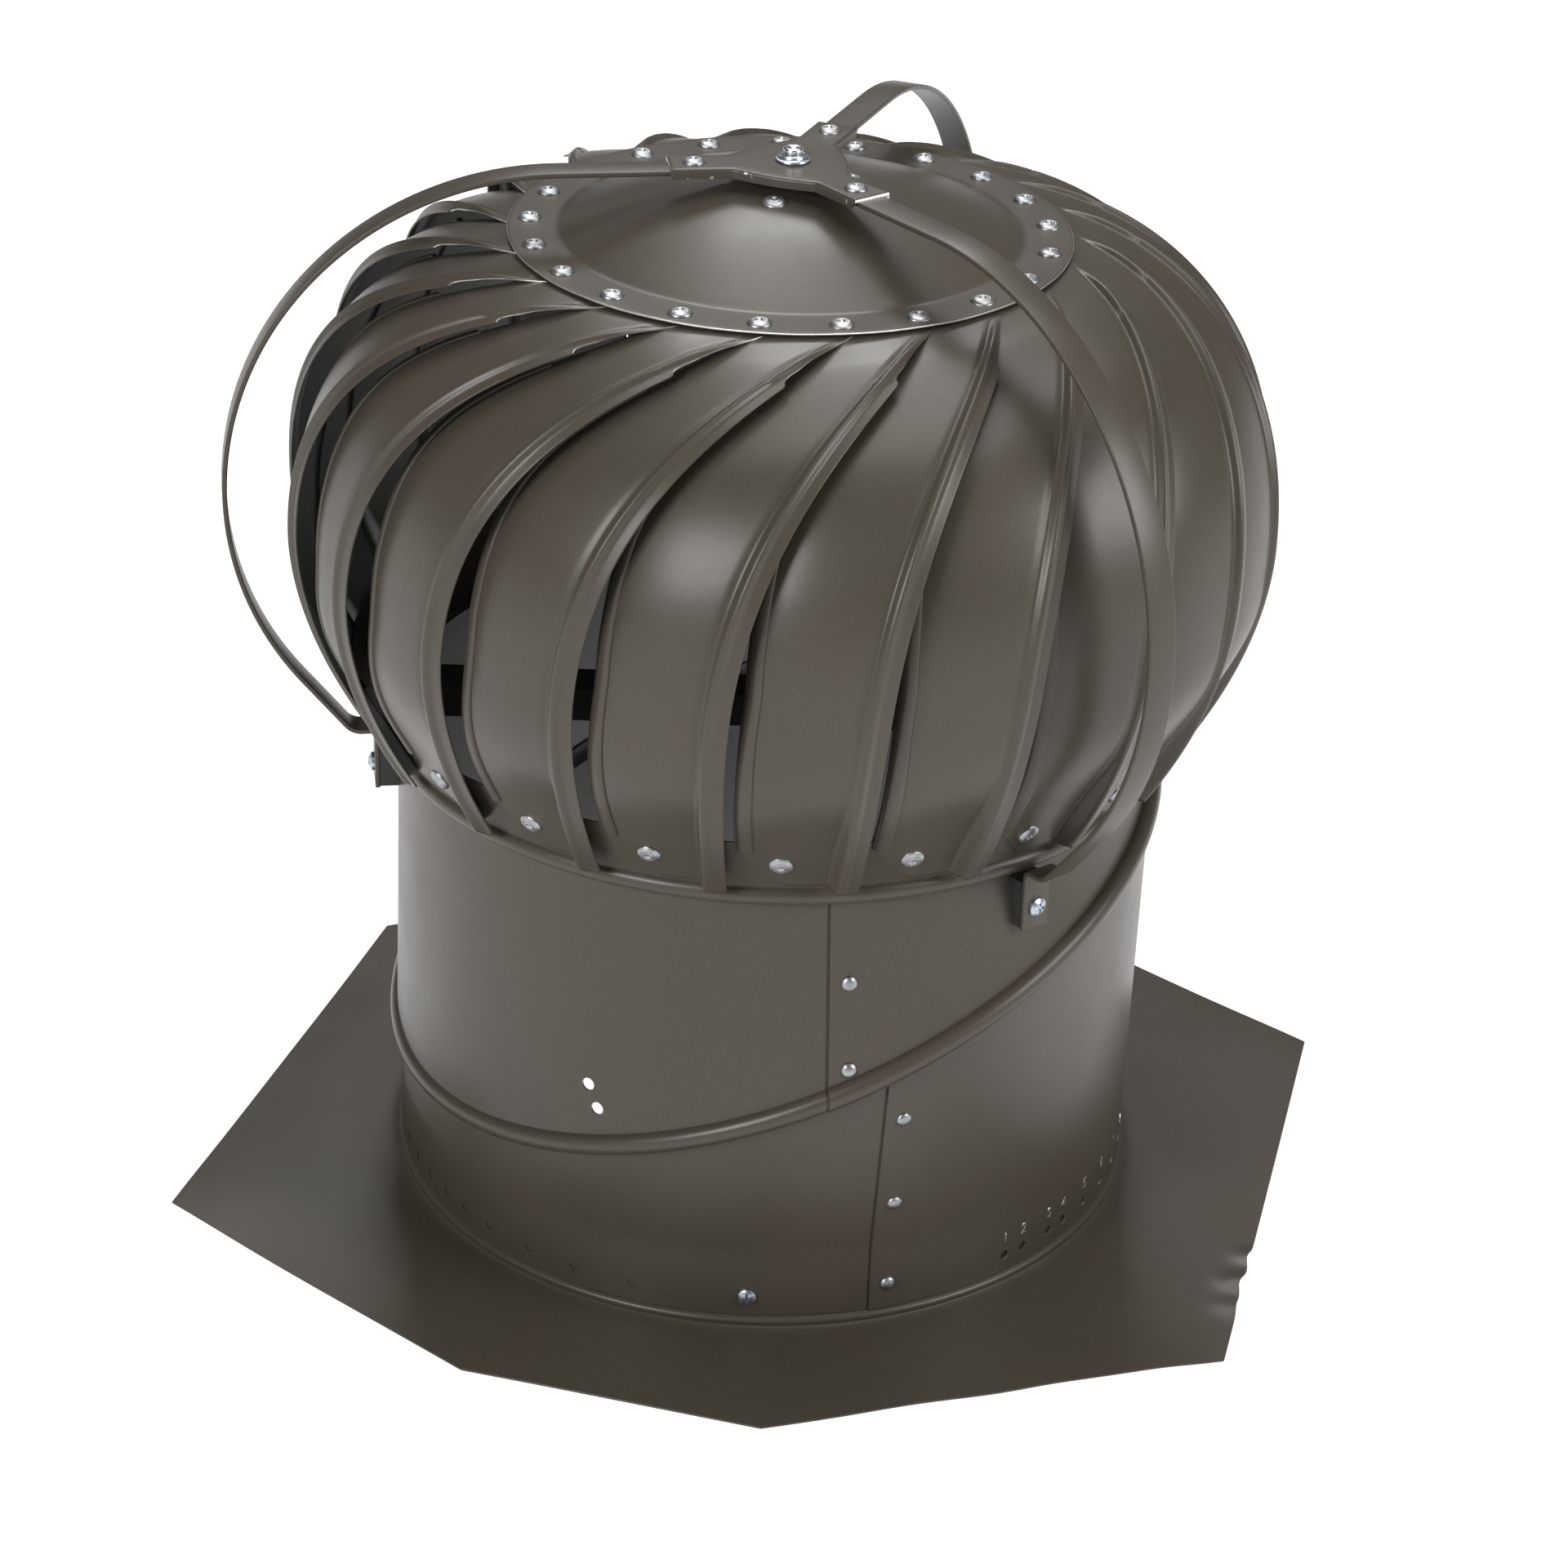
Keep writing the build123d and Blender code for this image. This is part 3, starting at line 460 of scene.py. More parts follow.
def add_corner_shadow(build, outer, inner):
    """Painted shadow: a dark strip under the slanting corner, where the sheet stands a little off the ring.
    """
    angle = blade_surface(BLADE_S[0], BLADE_D[0])[1]
    corner = foot_line(angle, BLADE_D[0]) > FOOT_Z + 0.75
    ahead = unit(outer[0] - outer[1])
    build.grid(np.stack([inner[0] + ahead * 0.02, inner[0] + ahead * 0.62], 1)[corner], 3)


def add_hem(build, turn):
    """Rolls the tucked edge over into a hem that ends square above the foot's corner."""
    edge = BLADE_S[:, -1]
    s = edge[edge < HEM_TOP_S][:, None]
    base = blade_points(np.repeat(s, len(HEM_INSET), 1), blade_width(s) - HEM_INSET, turn)
    normal = sheet_normals(base)
    hem = base + normal * HEM_LIFT
    build.grid(hem, 0)
    roll = slice(1, 8)
    for row in (0, -1):
        under = base[row, roll] + normal[row, roll] * np.minimum(HEM_LIFT[roll] - 0.4, -0.2)
        build.cap(np.concatenate([hem[row, roll], under[::-1]]), 0, flip=row == 0)


def make_blade(index):
    """A blade's sheet with its lip and rib, waved a little in its own way."""
    turn = FIRST + index * PITCH
    local = np.random.default_rng(100 + index)
    phase, size = local.uniform(0, 6.28), local.uniform(0.5, 1.0)
    bulge = np.sin(np.clip((BLADE_D - 14) / 38, 0, 1) * math.pi)
    outer = blade_points(BLADE_S, BLADE_D, turn, 0.3 * size * np.sin(BLADE_S / 36.0 + phase) * bulge)
    inner = outer - sheet_normals(outer) * SHEET
    bare = np.where(BLADE_S[:, 0] > BARE_S, 1, 0)[:, None]
    build = Build()
    thin_sheet(build, outer, inner, (0, 2, bare, 0, 1, 0))
    add_corner_shadow(build, outer, inner)
    add_hem(build, turn)
    name = f"blade_{index + 1:02d}"
    build.make(name + "_sheet", "turbine", [PAINT, CUT_EDGE, BACKER_AND_PAINTED_LIGHT, PAINTED_SHADOW], sharp=58,
               replaces=(name,))


for blade in range(BLADES):
    make_blade(blade)


def revolve(build, profile, count):
    """Turns a closed profile of (radius, height) about Z."""
    ring = np.array(profile + profile[:1], float)
    angles = np.linspace(0, 360, count, endpoint=False)[:, None]
    build.grid(polar(ring[:, 0], angles, ring[:, 1]), wrap=True)


def arc_points(start, through, end, count):
    """Points on the circle arc from start to end by way of through."""
    (ax, ay), (bx, by), (cx, cy) = start, through, end
    aa, bb, cc = ax * ax + ay * ay, bx * bx + by * by, cx * cx + cy * cy
    d = 2 * (ax * (by - cy) + bx * (cy - ay) + cx * (ay - by))
    ux = (aa * (by - cy) + bb * (cy - ay) + cc * (ay - by)) / d
    uy = (aa * (cx - bx) + bb * (ax - cx) + cc * (bx - ax)) / d
    radius = math.hypot(ax - ux, ay - uy)
    a0, a1, a2 = (math.atan2(y - uy, x - ux) for x, y in (start, through, end))
    while a1 < a0:
        a1 += 2 * math.pi
    while a2 < a0:
        a2 += 2 * math.pi
    if a1 > a2:
        a2 -= 2 * math.pi
    return [(ux + radius * math.cos(a), uy + radius * math.sin(a)) for a in np.linspace(a0, a2, count)]


def make_ring():
    """Lower ring: the cone that the blades are riveted to, above a rolled bead."""
    outer = [(175.2, 234.0)]
    outer += [tuple(CONE_TOP + (CONE_FOOT - CONE_TOP) * k) for k in np.linspace(0.03, 0.93, 8)]
    outer += arc_points((160.0, 206.4), (161.9, 202.6), (158.4, 198.7), 12)
    inner = [(x - SHEET, y + (0.25 if y < CONE_FOOT[1] else 0)) for x, y in reversed(outer)]
    build = Build()
    revolve(build, outer + inner, 300)
    build.make("ring_bead", "turbine", [PAINT], sharp=50, replaces=("lower_ring",))


make_ring()

CROWN_TOP = 413.8                   # top face of the crown's flange
DOME_R, DOME_RISE = 92.0, 20.9


def dome(radius):
    """Height of the dome's outside."""
    return CROWN_TOP + DOME_RISE * (1 - np.clip(radius / DOME_R, 0, 1) ** 1.75)


def make_crown():
    """Crown cap: dome, flange, bare rim and underside as one closed section, with a slight ripple."""
    radii = np.concatenate([np.linspace(9.5, 86, 30), [88.5, 90.5, 92.0, 93.5, 95.5]])
    flat = ease(radii, 88.0, 95.5)
    top = dome(radii) * (1 - flat) + CROWN_TOP * flat
    rim_r = [100.0, 106.0, 110.2, 111.0, 111.25, 111.25, 111.0, 106.0, 98.0]
    rim_z = [413.8, 413.8, 413.8, 413.75, 413.55, 413.2, 413.02, 413.0, 413.0]
    radius = np.concatenate([radii, rim_r, radii[::-1], radii[:1]])
    height = np.concatenate([top, rim_z, (top - SHEET)[::-1], top[:1]])
    azimuth = np.linspace(0, 360, 330, endpoint=False)[:, None]
    ripple = 0.05 * np.sin(np.radians(azimuth * BLADES - 20)) * ease(radius, 96, 111)
    slots = np.zeros(len(radius) - 1, int)
    slots[len(radii) + 3:len(radii) + 6] = 1
    build = Build()
    build.grid(polar(radius, azimuth, height + ripple), slots, wrap=True)
    build.make("crown_cap", "turbine", [PAINT, CUT_EDGE], sharp=40, replaces=("crown",))


make_crown()


# ---------------------------------------------------------------- rivets and screws

def place(matrix, pts):
    m = np.array(matrix)
    return pts @ m[:3, :3].T + m[:3, 3]


def aimed(radius, degrees, z, lift=0.0):
    """Frame on a wall, its Z axis pointing outwards and raised by lift degrees."""
    a, b = math.radians(degrees), math.radians(lift)
    out = Vector((math.cos(b) * math.cos(a), math.cos(b) * math.sin(a), math.sin(b)))
    side = Vector((-math.sin(a), math.cos(a), 0))
    m = Matrix((side, out.cross(side), out)).transposed().to_4x4()
    m.translation = Vector((radius * math.cos(a), radius * math.sin(a), z))
    return m


def upright(radius, degrees, z):
    """Frame on a level face."""
    return Matrix.Translation(Vector(polar(radius, degrees, z).tolist()))


def pop_rivet(build, matrix, head, seed):
    """Domed blind rivet: flange, dished middle where the stem snapped, and a slightly uneven rim."""
    local = np.random.default_rng(seed)
    profile = [(1.0, -0.30), (1.0, 0.05), (0.975, 0.13), (0.90, 0.20), (0.78, 0.27), (0.66, 0.315),
               (0.60, 0.335), (0.55, 0.32), (0.50, 0.325), (0.42, 0.36), (0.34, 0.375), (0.27, 0.35),
               (0.22, 0.27), (0.12, 0.25), (0.0, 0.255)]
    angles = np.linspace(0, 2 * math.pi, 28, endpoint=False)
    wobble = 1 + 0.012 * np.sin(3 * angles + local.uniform(0, 6))
    wobble += 0.01 * np.sin(7 * angles + local.uniform(0, 6))
    tilt = local.uniform(-0.05, 0.05, 2)
    rings = []
    for r, z in profile:
        x, y = head * r * np.cos(angles) * wobble, head * r * np.sin(angles) * wobble
        dent = 0.05 * np.sin(2 * angles + local.uniform(0, 0.6)) * (0.3 < r < 0.95)
        height = head * (z + dent * 0.3) + tilt[0] * x * (z > 0.1) + tilt[1] * y * (z > 0.1)
        rings.append(place(matrix, np.stack([x, y, height], -1)))
    build.loft(rings)


def solid_rivet(build, matrix, head, seed):
    """Small bright snap-head rivet."""
    local = np.random.default_rng(seed)
    profile = [(1.0, -0.3), (1.0, 0.06), (0.96, 0.17), (0.85, 0.30), (0.66, 0.42), (0.42, 0.50), (0.2, 0.53),
               (0, 0.535)]
    angles = np.linspace(0, 2 * math.pi, 24, endpoint=False)
    wobble = 1 + 0.015 * np.sin(3 * angles + local.uniform(0, 6))
    rings = []
    for r, z in profile:
        x, y = head * r * np.cos(angles) * wobble, head * r * np.sin(angles) * wobble
        rings.append(place(matrix, np.stack([x, y, np.full_like(x, head * z)], -1)))
    build.loft(rings)


def rivet_row(name, body, node, shape, head, seed, spots):
    """One object with a rivet of this shape and head radius on each of the frames, in place of the node."""
    build = Build()
    for index, spot in enumerate(spots):
        shape(build, spot, head, seed + index)
    build.make(name, body, [RIVET], sharp=60, replaces=(node,))


POP_HEAD = 4.75
FOOT_RIVET_Z = 222.0
FOOT_RIVET_R = (np.interp(FOOT_RIVET_Z, (CONE_FOOT[1], CONE_TOP[1]), (CONE_FOOT[0], CONE_TOP[0]))
                + (SHEET + 0.15) / math.cos(math.radians(CONE_LIFT)))
CROWN_RIVET_R = 102.7
CROWN_TURN = 44.1                   # azimuth of a blade's crown rivet from its foot rivet
DOME_RIVET_R = 24.0
DOME_SLOPE = math.degrees(math.atan2(float(dome(DOME_RIVET_R - 1) - dome(DOME_RIVET_R + 1)), 2.0))

rivet_row("foot_rivets", "turbine", "blade_foot_rivets", pop_rivet, POP_HEAD, 10,
          [aimed(FOOT_RIVET_R, FIRST + k * PITCH, FOOT_RIVET_Z, CONE_LIFT) for k in range(BLADES)])
rivet_row("crown_rivets_head", "turbine", "crown_rivets", pop_rivet, POP_HEAD, 50,
          [upright(CROWN_RIVET_R, FIRST + CROWN_TURN + k * PITCH, CROWN_TOP) for k in range(BLADES)])
rivet_row("dome_rivets", "turbine", "rotor_hub_rivets", pop_rivet, POP_HEAD, 80,
          [aimed(DOME_RIVET_R, a, float(dome(DOME_RIVET_R)), 90 - DOME_SLOPE) for a in (-106.0, 14.0, 134.0)])


# ---------------------------------------------------------------- collars

COLLAR_R = 157.0
TILT = math.radians(22.5)           # slant of the swivel joint
UPHILL = 15.0                       # azimuth that the joint climbs towards
Z_AXIS = np.array([0.0, 0.0, 1.0])
RISE = np.array([math.cos(math.radians(UPHILL)), math.sin(math.radians(UPHILL)), 0.0])
ACROSS = np.array([-RISE[1], RISE[0], 0.0])
JOINT_AXIS = Z_AXIS * math.cos(TILT) - RISE * math.sin(TILT)
JOINT_SLOPE = RISE * math.cos(TILT) + Z_AXIS * math.sin(TILT)
JOINT_MID = Z_AXIS * 124.5
# level radius and height, then joint radius and offset along the joint's axis
LOWER_WALL = (COLLAR_R, 36.0, 168.0, -4.6)
UPPER_WALL = (156.4, 199.5, 169.2, 4.6)
LOWER_SEAM, UPPER_SEAM = -72.8, -81.2


def collar_point(azimuth, level_r, level_z, joint_r, joint_h, t):
    """Point of a collar at an azimuth, t of the way from its level circle to its slanted one."""
    psi = np.radians(np.asarray(azimuth, float) - UPHILL)
    spread = np.broadcast_arrays(psi, level_r, level_z, joint_r, joint_h, t)
    psi, level_r, level_z, joint_r, joint_h, t = spread
    a = (1 - t) * level_r + t * joint_r * math.cos(TILT)
    b = (1 - t) * level_r + t * joint_r
    e = -t * joint_h * math.sin(TILT)
    reach = np.hypot(a * np.sin(psi), b * np.cos(psi))
    phi = -np.arctan2(b * np.cos(psi), a * np.sin(psi)) + np.arccos(-e * np.sin(psi) / reach)
    c, s = np.cos(phi)[..., None], np.sin(phi)[..., None]
    level = level_r[..., None] * (c * RISE + s * ACROSS) + level_z[..., None] * Z_AXIS
    slanted = JOINT_MID + joint_h[..., None] * JOINT_AXIS
    slanted = slanted + joint_r[..., None] * (c * JOINT_SLOPE + s * ACROSS)
    return (1 - t)[..., None] * level + t[..., None] * slanted


def collar_frame(wall, azimuth, z, lift=0.0):
    """Frame square to a collar's wall at an azimuth and height."""
    low, high = 0.0, 1.0
    rising = collar_point(azimuth, *wall, 1.0)[2] > wall[1]
    for _ in range(40):
        t = (low + high) / 2
        below = collar_point(azimuth, *wall, t)[2] < z
        low, high = (t, high) if below == rising else (low, t)
    here = collar_point(azimuth, *wall, t)
    if (z < wall[1]) == bool(rising):
        here = polar(wall[0], azimuth, z)
        run = Z_AXIS
    else:
        above, under = min(1.0, t + 0.02), max(0.0, t - 0.02)
        run = collar_point(azimuth, *wall, above) - collar_point(azimuth, *wall, under)
    side = collar_point(azimuth + 0.5, *wall, t) - collar_point(azimuth - 0.5, *wall, t)
    out = np.cross(side, run)
    out = Vector((out * np.sign(out @ here)).tolist()).normalized()
    side = Vector(side.tolist()).normalized()
    m = Matrix((side, out.cross(side), out)).transposed().to_4x4()
    m.translation = Vector(here.tolist()) + out * lift
    return m


def lap(azimuth, seam):
    """How far the overlapping sheet stands off, falling away from its free edge on the seam."""
    along = (azimuth - seam) % 360
    return 0.78 * np.exp(-(along / 8.0) ** 1.3) * (along < 60)


def seam_azimuths(seam):
    """Azimuths around a collar, starting at its seam, with a narrow shadow line at the end."""
    fine = np.array([0.0, 0.12, 0.3, 0.6, 1.0, 1.5, 2.1, 2.8, 3.6, 4.5, 5.5])
    rest = np.linspace(6.6, 359.2, 326)
    return seam + np.concatenate([fine, rest, [359.62, 359.70, 359.86, 359.93]])


def collar_shell(node, rows, seam, bead_rows):
    """Sheet collar through rows of (level r, level z, joint r, joint h, t), lapped at its seam."""
    azimuth = seam_azimuths(seam)[:, None]
    rows = np.array(rows, float)
    base = collar_point(azimuth, *rows.T)
    ahead = collar_point(azimuth + 0.2, *rows.T)
    normal = unit(np.cross(ahead - base, np.gradient(base, axis=1)))
    level = base * [1, 1, 0]
    normal *= np.sign((normal * level).sum(-1).mean())
    step = lap(azimuth, seam) * np.where(bead_rows, 0.55, 1.0)
    groove = np.zeros_like(step)
    groove[-3:-1] = 0.45
    slow = 0.22 * np.sin(np.radians(azimuth * 3 + 40)) * np.sin(rows[:, 4] * math.pi)
    outer = base + normal * (step - groove + slow)[..., None]
    inner = base - normal * (SHEET - slow)[..., None]
    build = Build()
    thin_sheet(build, outer, inner, (0, 3, 1, 0), wrap=True)
    return build.make(node + "_sheet", node, [PAINT, PAINT_WORN, CUT_EDGE, BACKER_AND_PAINTED_LIGHT, PAINTED_SHADOW], sharp=34,
                      replaces=(node,))


def drill(obj, holes, wall_slot=2, floor_slot=2):
    """Cuts round holes: each is (matrix, radius, from, to) along the matrix's Z axis."""
    build = Build()
    angles = np.linspace(0, 2 * math.pi, 32, endpoint=False)
    for matrix, radius, start, stop in holes:
        circle = np.stack([radius * np.cos(angles), radius * np.sin(angles), np.zeros(32)], -1)
        ends = [place(matrix, circle + [0, 0, z]) for z in (start, stop)]
        build.loft(ends, wall_slot)
        build.cap(ends[0], floor_slot)
        build.cap(ends[1], floor_slot, flip=True)
    tool = build.make(obj.name + "_drill", "base", list(obj.data.materials), sharp=30)
    modifier = obj.modifiers.new("holes", "BOOLEAN")
    modifier.operation = "DIFFERENCE"
    modifier.solver = "EXACT"
    modifier.object = tool
    bpy.context.view_layer.update()
    mesh = bpy.data.meshes.new_from_object(obj.evaluated_get(bpy.context.evaluated_depsgraph_get()))
    obj.modifiers.clear()
    obj.data = mesh
    mesh.set_sharp_from_angle(angle=math.radians(34))
    bpy.data.objects.remove(tool)


def bead_arc(start, through, end, count):
    return [(0.0, 0.0, r, h, 1.0) for r, h in arc_points(start, through, end, count)]


PITCH_HOLES = (-49.3, -45.5, -39.5, -35.6, -29.2, -22.6, -15.9, -9.3, -2.7, 3.9, 10.5, 17.1)
PILOT_MARKS = (-108.6, -118.2, -126.5, -134.9, -140.9, -146.2, -151.9, -157.4, -163.0)
UPPER_HOLES = ((-114.9, 108.3), (-113.3, 98.8))
PITCH_HOLE_Z, PILOT_MARK_Z, NUMBER_Z = 13.5, 14.5, 22.6


def make_lower_collar():
    rows = [(COLLAR_R, z, 168.0, -4.6, 0.0) for z in (6.2, 6.6, 9, 14, 20, 28, 36)]
    rows += [(*LOWER_WALL, t) for t in np.linspace(0.06, 1.0, 17)]
    wall_rows = len(rows)
    rows += bead_arc((168.0, -4.6), (172.6, -0.2), (167.8, 4.2), 12)[1:]
    collar = collar_shell("lower_collar", rows, LOWER_SEAM, np.arange(len(rows)) >= wall_rows)
    drill(collar, [(aimed(COLLAR_R, a, PITCH_HOLE_Z), 2.2, -3, 3) for a in PITCH_HOLES])
    # the pilot marks' walls take slot 4, the painted shadow, and their floors the plain paint
    drill(collar, [(aimed(COLLAR_R, a, PILOT_MARK_Z), 2.0, -0.35, 3) for a in PILOT_MARKS], 4, 0)


def make_upper_collar():
    rows = bead_arc((170.2, -4.6), (174.0, 0.2), (169.2, 4.6), 16)
    bead_rows = len(rows)
    rows += [(*UPPER_WALL, t) for t in np.linspace(1.0, 0.0, 20)[1:]]
    rows += [(156.4, z, 169.2, 4.6, 0.0) for z in (200.8, 203, 205.6, 206.0)]
    collar = collar_shell("upper_collar", rows, UPPER_SEAM, np.arange(len(rows)) < bead_rows)
    drill(collar, [(collar_frame(UPPER_WALL, a, z), 2.7, -4, 4) for a, z in UPPER_HOLES])


make_lower_collar()
make_upper_collar()

DIGITS = {
    "0": [(-1.1, 1.1), (-0.6, 2.1), (0.6, 2.1), (1.1, 1.1), (1.1, -1.1), (0.6, -2.1), (-0.6, -2.1),
          (-1.1, -1.1), (-1.1, 1.1)],
    "1": [(-0.7, 1.4), (0.0, 2.2), (0.0, -2.2)],
    "2": [(-1.1, 1.3), (-0.5, 2.1), (0.6, 2.1), (1.1, 1.2), (0.9, 0.3), (-1.2, -2.2), (1.2, -2.2)],
    "3": [(-1.1, 1.7), (0.1, 2.2), (1.0, 1.4), (0.2, 0.2), (1.1, -0.8), (0.4, -2.0), (-1.1, -1.8)],
    "4": [(0.7, -2.2), (0.7, 2.2), (-1.2, -0.7), (1.3, -0.7)],
    "5": [(1.0, 2.2), (-0.9, 2.2), (-1.0, 0.3), (0.4, 0.4), (1.1, -0.7), (0.4, -2.0), (-1.1, -1.9)],
    "6": [(0.9, 2.0), (-0.4, 1.4), (-1.1, -0.6), (-0.4, -2.1), (0.7, -2.0), (1.1, -0.9), (0.3, 0.1),
          (-0.9, -0.4)],
    "7": [(-1.1, 2.2), (1.1, 2.2), (-0.3, -2.2)],
    "8": [(0.0, 0.2), (-0.9, 1.2), (0.0, 2.2), (0.9, 1.2), (0.0, 0.2), (-1.1, -1.0), (0.0, -2.2), (1.1, -1.0),
          (0.0, 0.2)],
    "9": [(0.9, 0.5), (-0.3, -0.1), (-1.1, 0.9), (-0.6, 2.0), (0.5, 2.1), (1.1, 0.8), (0.2, -2.2)]}
STROKE = 0.24                       # half the width of a figure's stroke
FIGURE_STEP = 3.2


def stamp_number(build, azimuth, z, text):
    """Raised strokes of a position number on the lower collar."""
    angles = np.linspace(0, 2 * math.pi, 7, endpoint=False)
    reach = STROKE * np.cos(angles)
    radius = COLLAR_R + 0.02 + 0.17 * np.sin(angles)
    for index, figure in enumerate(text):
        line = np.array(DIGITS[figure]) + [(index - (len(text) - 1) / 2) * FIGURE_STEP, 0]
        rings = []
        for k, (x, y) in enumerate(line):
            run = unit(line[min(len(line) - 1, k + 1)] - line[max(0, k - 1)])
            across = azimuth + np.degrees((x - run[1] * reach) / COLLAR_R)
            rings.append(polar(radius, across, z + (y + run[0] * reach)))
        build.loft(rings, 0)
        build.cap(rings[0], 0)
        build.cap(rings[-1], 0, flip=True)


def make_position_numbers():
    """Numbers above the pitch holes, and a dark disc of painted shadow behind each hole."""
    turn = np.linspace(0, 2 * math.pi, 24, endpoint=False)
    disc_r = 2.6
    build = Build()
    for number, azimuth in enumerate(PITCH_HOLES, 1):
        stamp_number(build, azimuth, NUMBER_Z, str(number))
        across = azimuth + np.degrees(disc_r * np.cos(turn) / COLLAR_R)
        # painted shadow: a near-black disc just inside the wall behind the hole
        build.cap(polar(COLLAR_R - 0.85, across, PITCH_HOLE_Z + disc_r * np.sin(turn)), 1)
    build.make("position_numbers", "lower_collar", [PAINT_WORN, PAINTED_SHADOW], sharp=50)


make_position_numbers()

SNAP_HEAD = 3.2
SEAM_STEP = 2.7                     # degrees from a seam to its rivets
rivet_row("lower_seam_rivet_heads", "lower_collar", "lower_seam_rivets", solid_rivet, SNAP_HEAD, 120,
          [collar_frame(LOWER_WALL, LOWER_SEAM + SEAM_STEP, z, 0.55) for z in (17.9, 58.8, 101.7)])
rivet_row("upper_seam_rivet_heads", "upper_collar", "upper_seam_rivets", solid_rivet, SNAP_HEAD, 130,
          [collar_frame(UPPER_WALL, UPPER_SEAM + SEAM_STEP, z, 0.55) for z in (129.6, 165.2)])


# ---------------------------------------------------------------- flashing

OUTLINE = np.array([(-247, -84), (-116, -194), (4, -225), (190, -171), (247, 76), (116, 194), (-4, 225),
                    (-180, 155)], float)
ROOT_R = 165.0
# the spun neck, the bead that carries the collar and its root, as (radius, height) from the top down
NECK_OUTSIDE = np.array([
    (155.8, 32.0), (155.85, 31.0), (155.8, 20.0), (155.8, 7.0), (155.9, 6.0), (156.6, 5.55), (157.9, 4.9),
    (158.5, 4.2), (158.6, 3.3), (158.3, 2.4), (158.2, 1.9), (158.8, 1.35), (160.0, 1.0), (162.0, 0.85),
    (163.6, 0.8)])
NECK_INSIDE = np.array([
    (155.0, 32.0), (155.05, 31.0), (155.0, 20.0), (155.0, 7.0), (155.1, 5.7), (155.8, 4.9), (156.6, 4.4),
    (157.5, 3.8), (157.6, 3.2), (157.4, 2.4), (157.0, 1.2), (157.2, 0.25), (159.0, 0.0), (162.0, 0.0),
    (163.6, 0.0)])
# dents in the plate's edge, as (azimuth, depth, half-width in degrees)
EDGE_DENTS = ((-57.5, 1.6, 5), (-46.5, 0.9, 3), (-30.4, 1.8, 1.4), (-25.5, 1.4, 1.1), (-33.6, 0.8, 1.2))
# lifted corners, kinks and soft bumps near the edge, as (x, y, height, radius)
PLATE_BUMPS = ((247, 76, 1.6, 46), (-247, -84, 1.3, 44), (-180, 155, 0.8, 40), (201, -116, 2.3, 7),
               (207, -97, 1.8, 6), (197, -134, 1.2, 7), (66, -208, 1.3, 30), (150, -182, 1.0, 22))


def outline_reach(azimuth):
    """Distance from the centre to the plate's edge at an azimuth."""
    a = math.radians(azimuth)
    ray = np.array([math.cos(a), math.sin(a)])
    best = 1e9
    for p, q in zip(OUTLINE, np.roll(OUTLINE, -1, axis=0)):
        d = q - p
        cross = ray[0] * d[1] - ray[1] * d[0]
        if abs(cross) < 1e-9:
            continue
        reach = (p[0] * d[1] - p[1] * d[0]) / cross
        share = (p[0] * ray[1] - p[1] * ray[0]) / cross
        if reach > 0 and -1e-6 <= share <= 1 + 1e-6:
            best = min(best, reach)
    return best


def plate_lift(x, y, edge):
    """Hand-worked sheet: slow waves, and the bumps, growing with edge from the root outwards."""
    wave = 0.45 * (1 + np.sin(x / 47 + 0.6) * np.cos(y / 61)) * edge
    bumps = sum(height * np.exp(-((x - cx) ** 2 + (y - cy) ** 2) / size ** 2)
                for cx, cy, height, size in PLATE_BUMPS)
    return wave + bumps * edge ** 2


def make_flashing():
    corners = np.degrees(np.arctan2(OUTLINE[:, 1], OUTLINE[:, 0]))
    azimuths = np.unique(np.round(np.concatenate([np.linspace(-180, 180, 480, endpoint=False), corners]), 4))
    dents = sum(depth * np.exp(-((azimuths - at) / width) ** 2) for at, depth, width in EDGE_DENTS)
    reach = np.array([outline_reach(a) for a in azimuths]) - dents - 0.15
    share = np.concatenate([[0], np.linspace(0.02, 1, 20)])
    A = azimuths[:, None]
    R = ROOT_R + (reach[:, None] - ROOT_R) * share
    X, Y = R * np.cos(np.radians(A)), R * np.sin(np.radians(A))
    lift = plate_lift(X, Y, np.clip((R - ROOT_R) / 30, 0, 1))
    outer, inner = (np.concatenate([polar(neck[:, 0], A, neck[:, 1]), np.stack([X, Y, base + lift], -1)], 1)
                    for neck, base in ((NECK_OUTSIDE, SHEET), (NECK_INSIDE, 0.0)))
    build = Build()
    thin_sheet(build, outer, inner, (0, 1, 0, 0), wrap=True)
    build.make("flashing_sheet", "base", [PAINT, BACKER_AND_PAINTED_LIGHT], sharp=40, replaces=("flashing",))


make_flashing()


# ---------------------------------------------------------------- brace

ARMS = (-171.0, -51.0, 69.0)


def arm_line():
    """Centre line of an arm as radius, height and heading, from the hub to the end of its tab."""
    spot, heading = np.array([14.0, 439.5]), 0.0
    points = [(*spot, heading)]

    def go(length, count):
        nonlocal spot
        start = spot
        for k in range(1, count + 1):
            spot = start + np.array([math.cos(heading), math.sin(heading)]) * length * k / count
            points.append((*spot, heading))

    def turn(radius, degrees, count):
        nonlocal spot, heading
        sign = math.copysign(1, degrees)
        centre = spot + radius * sign * np.array([-math.sin(heading), math.cos(heading)])
        start = heading
        for k in range(1, count + 1):
            heading = start + math.radians(degrees) * k / count
            spot = centre - radius * sign * np.array([-math.sin(heading), math.cos(heading)])
            points.append((*spot, heading))

    go(79.0, 14)
    turn(131.0, -129.0, 64)
    go(27.0, 8)
    turn(8.0, -51.0, 12)
    go(3.0, 3)
    turn(3.0, 90.0, 12)
    go(23.0, 8)
    return np.array(points)


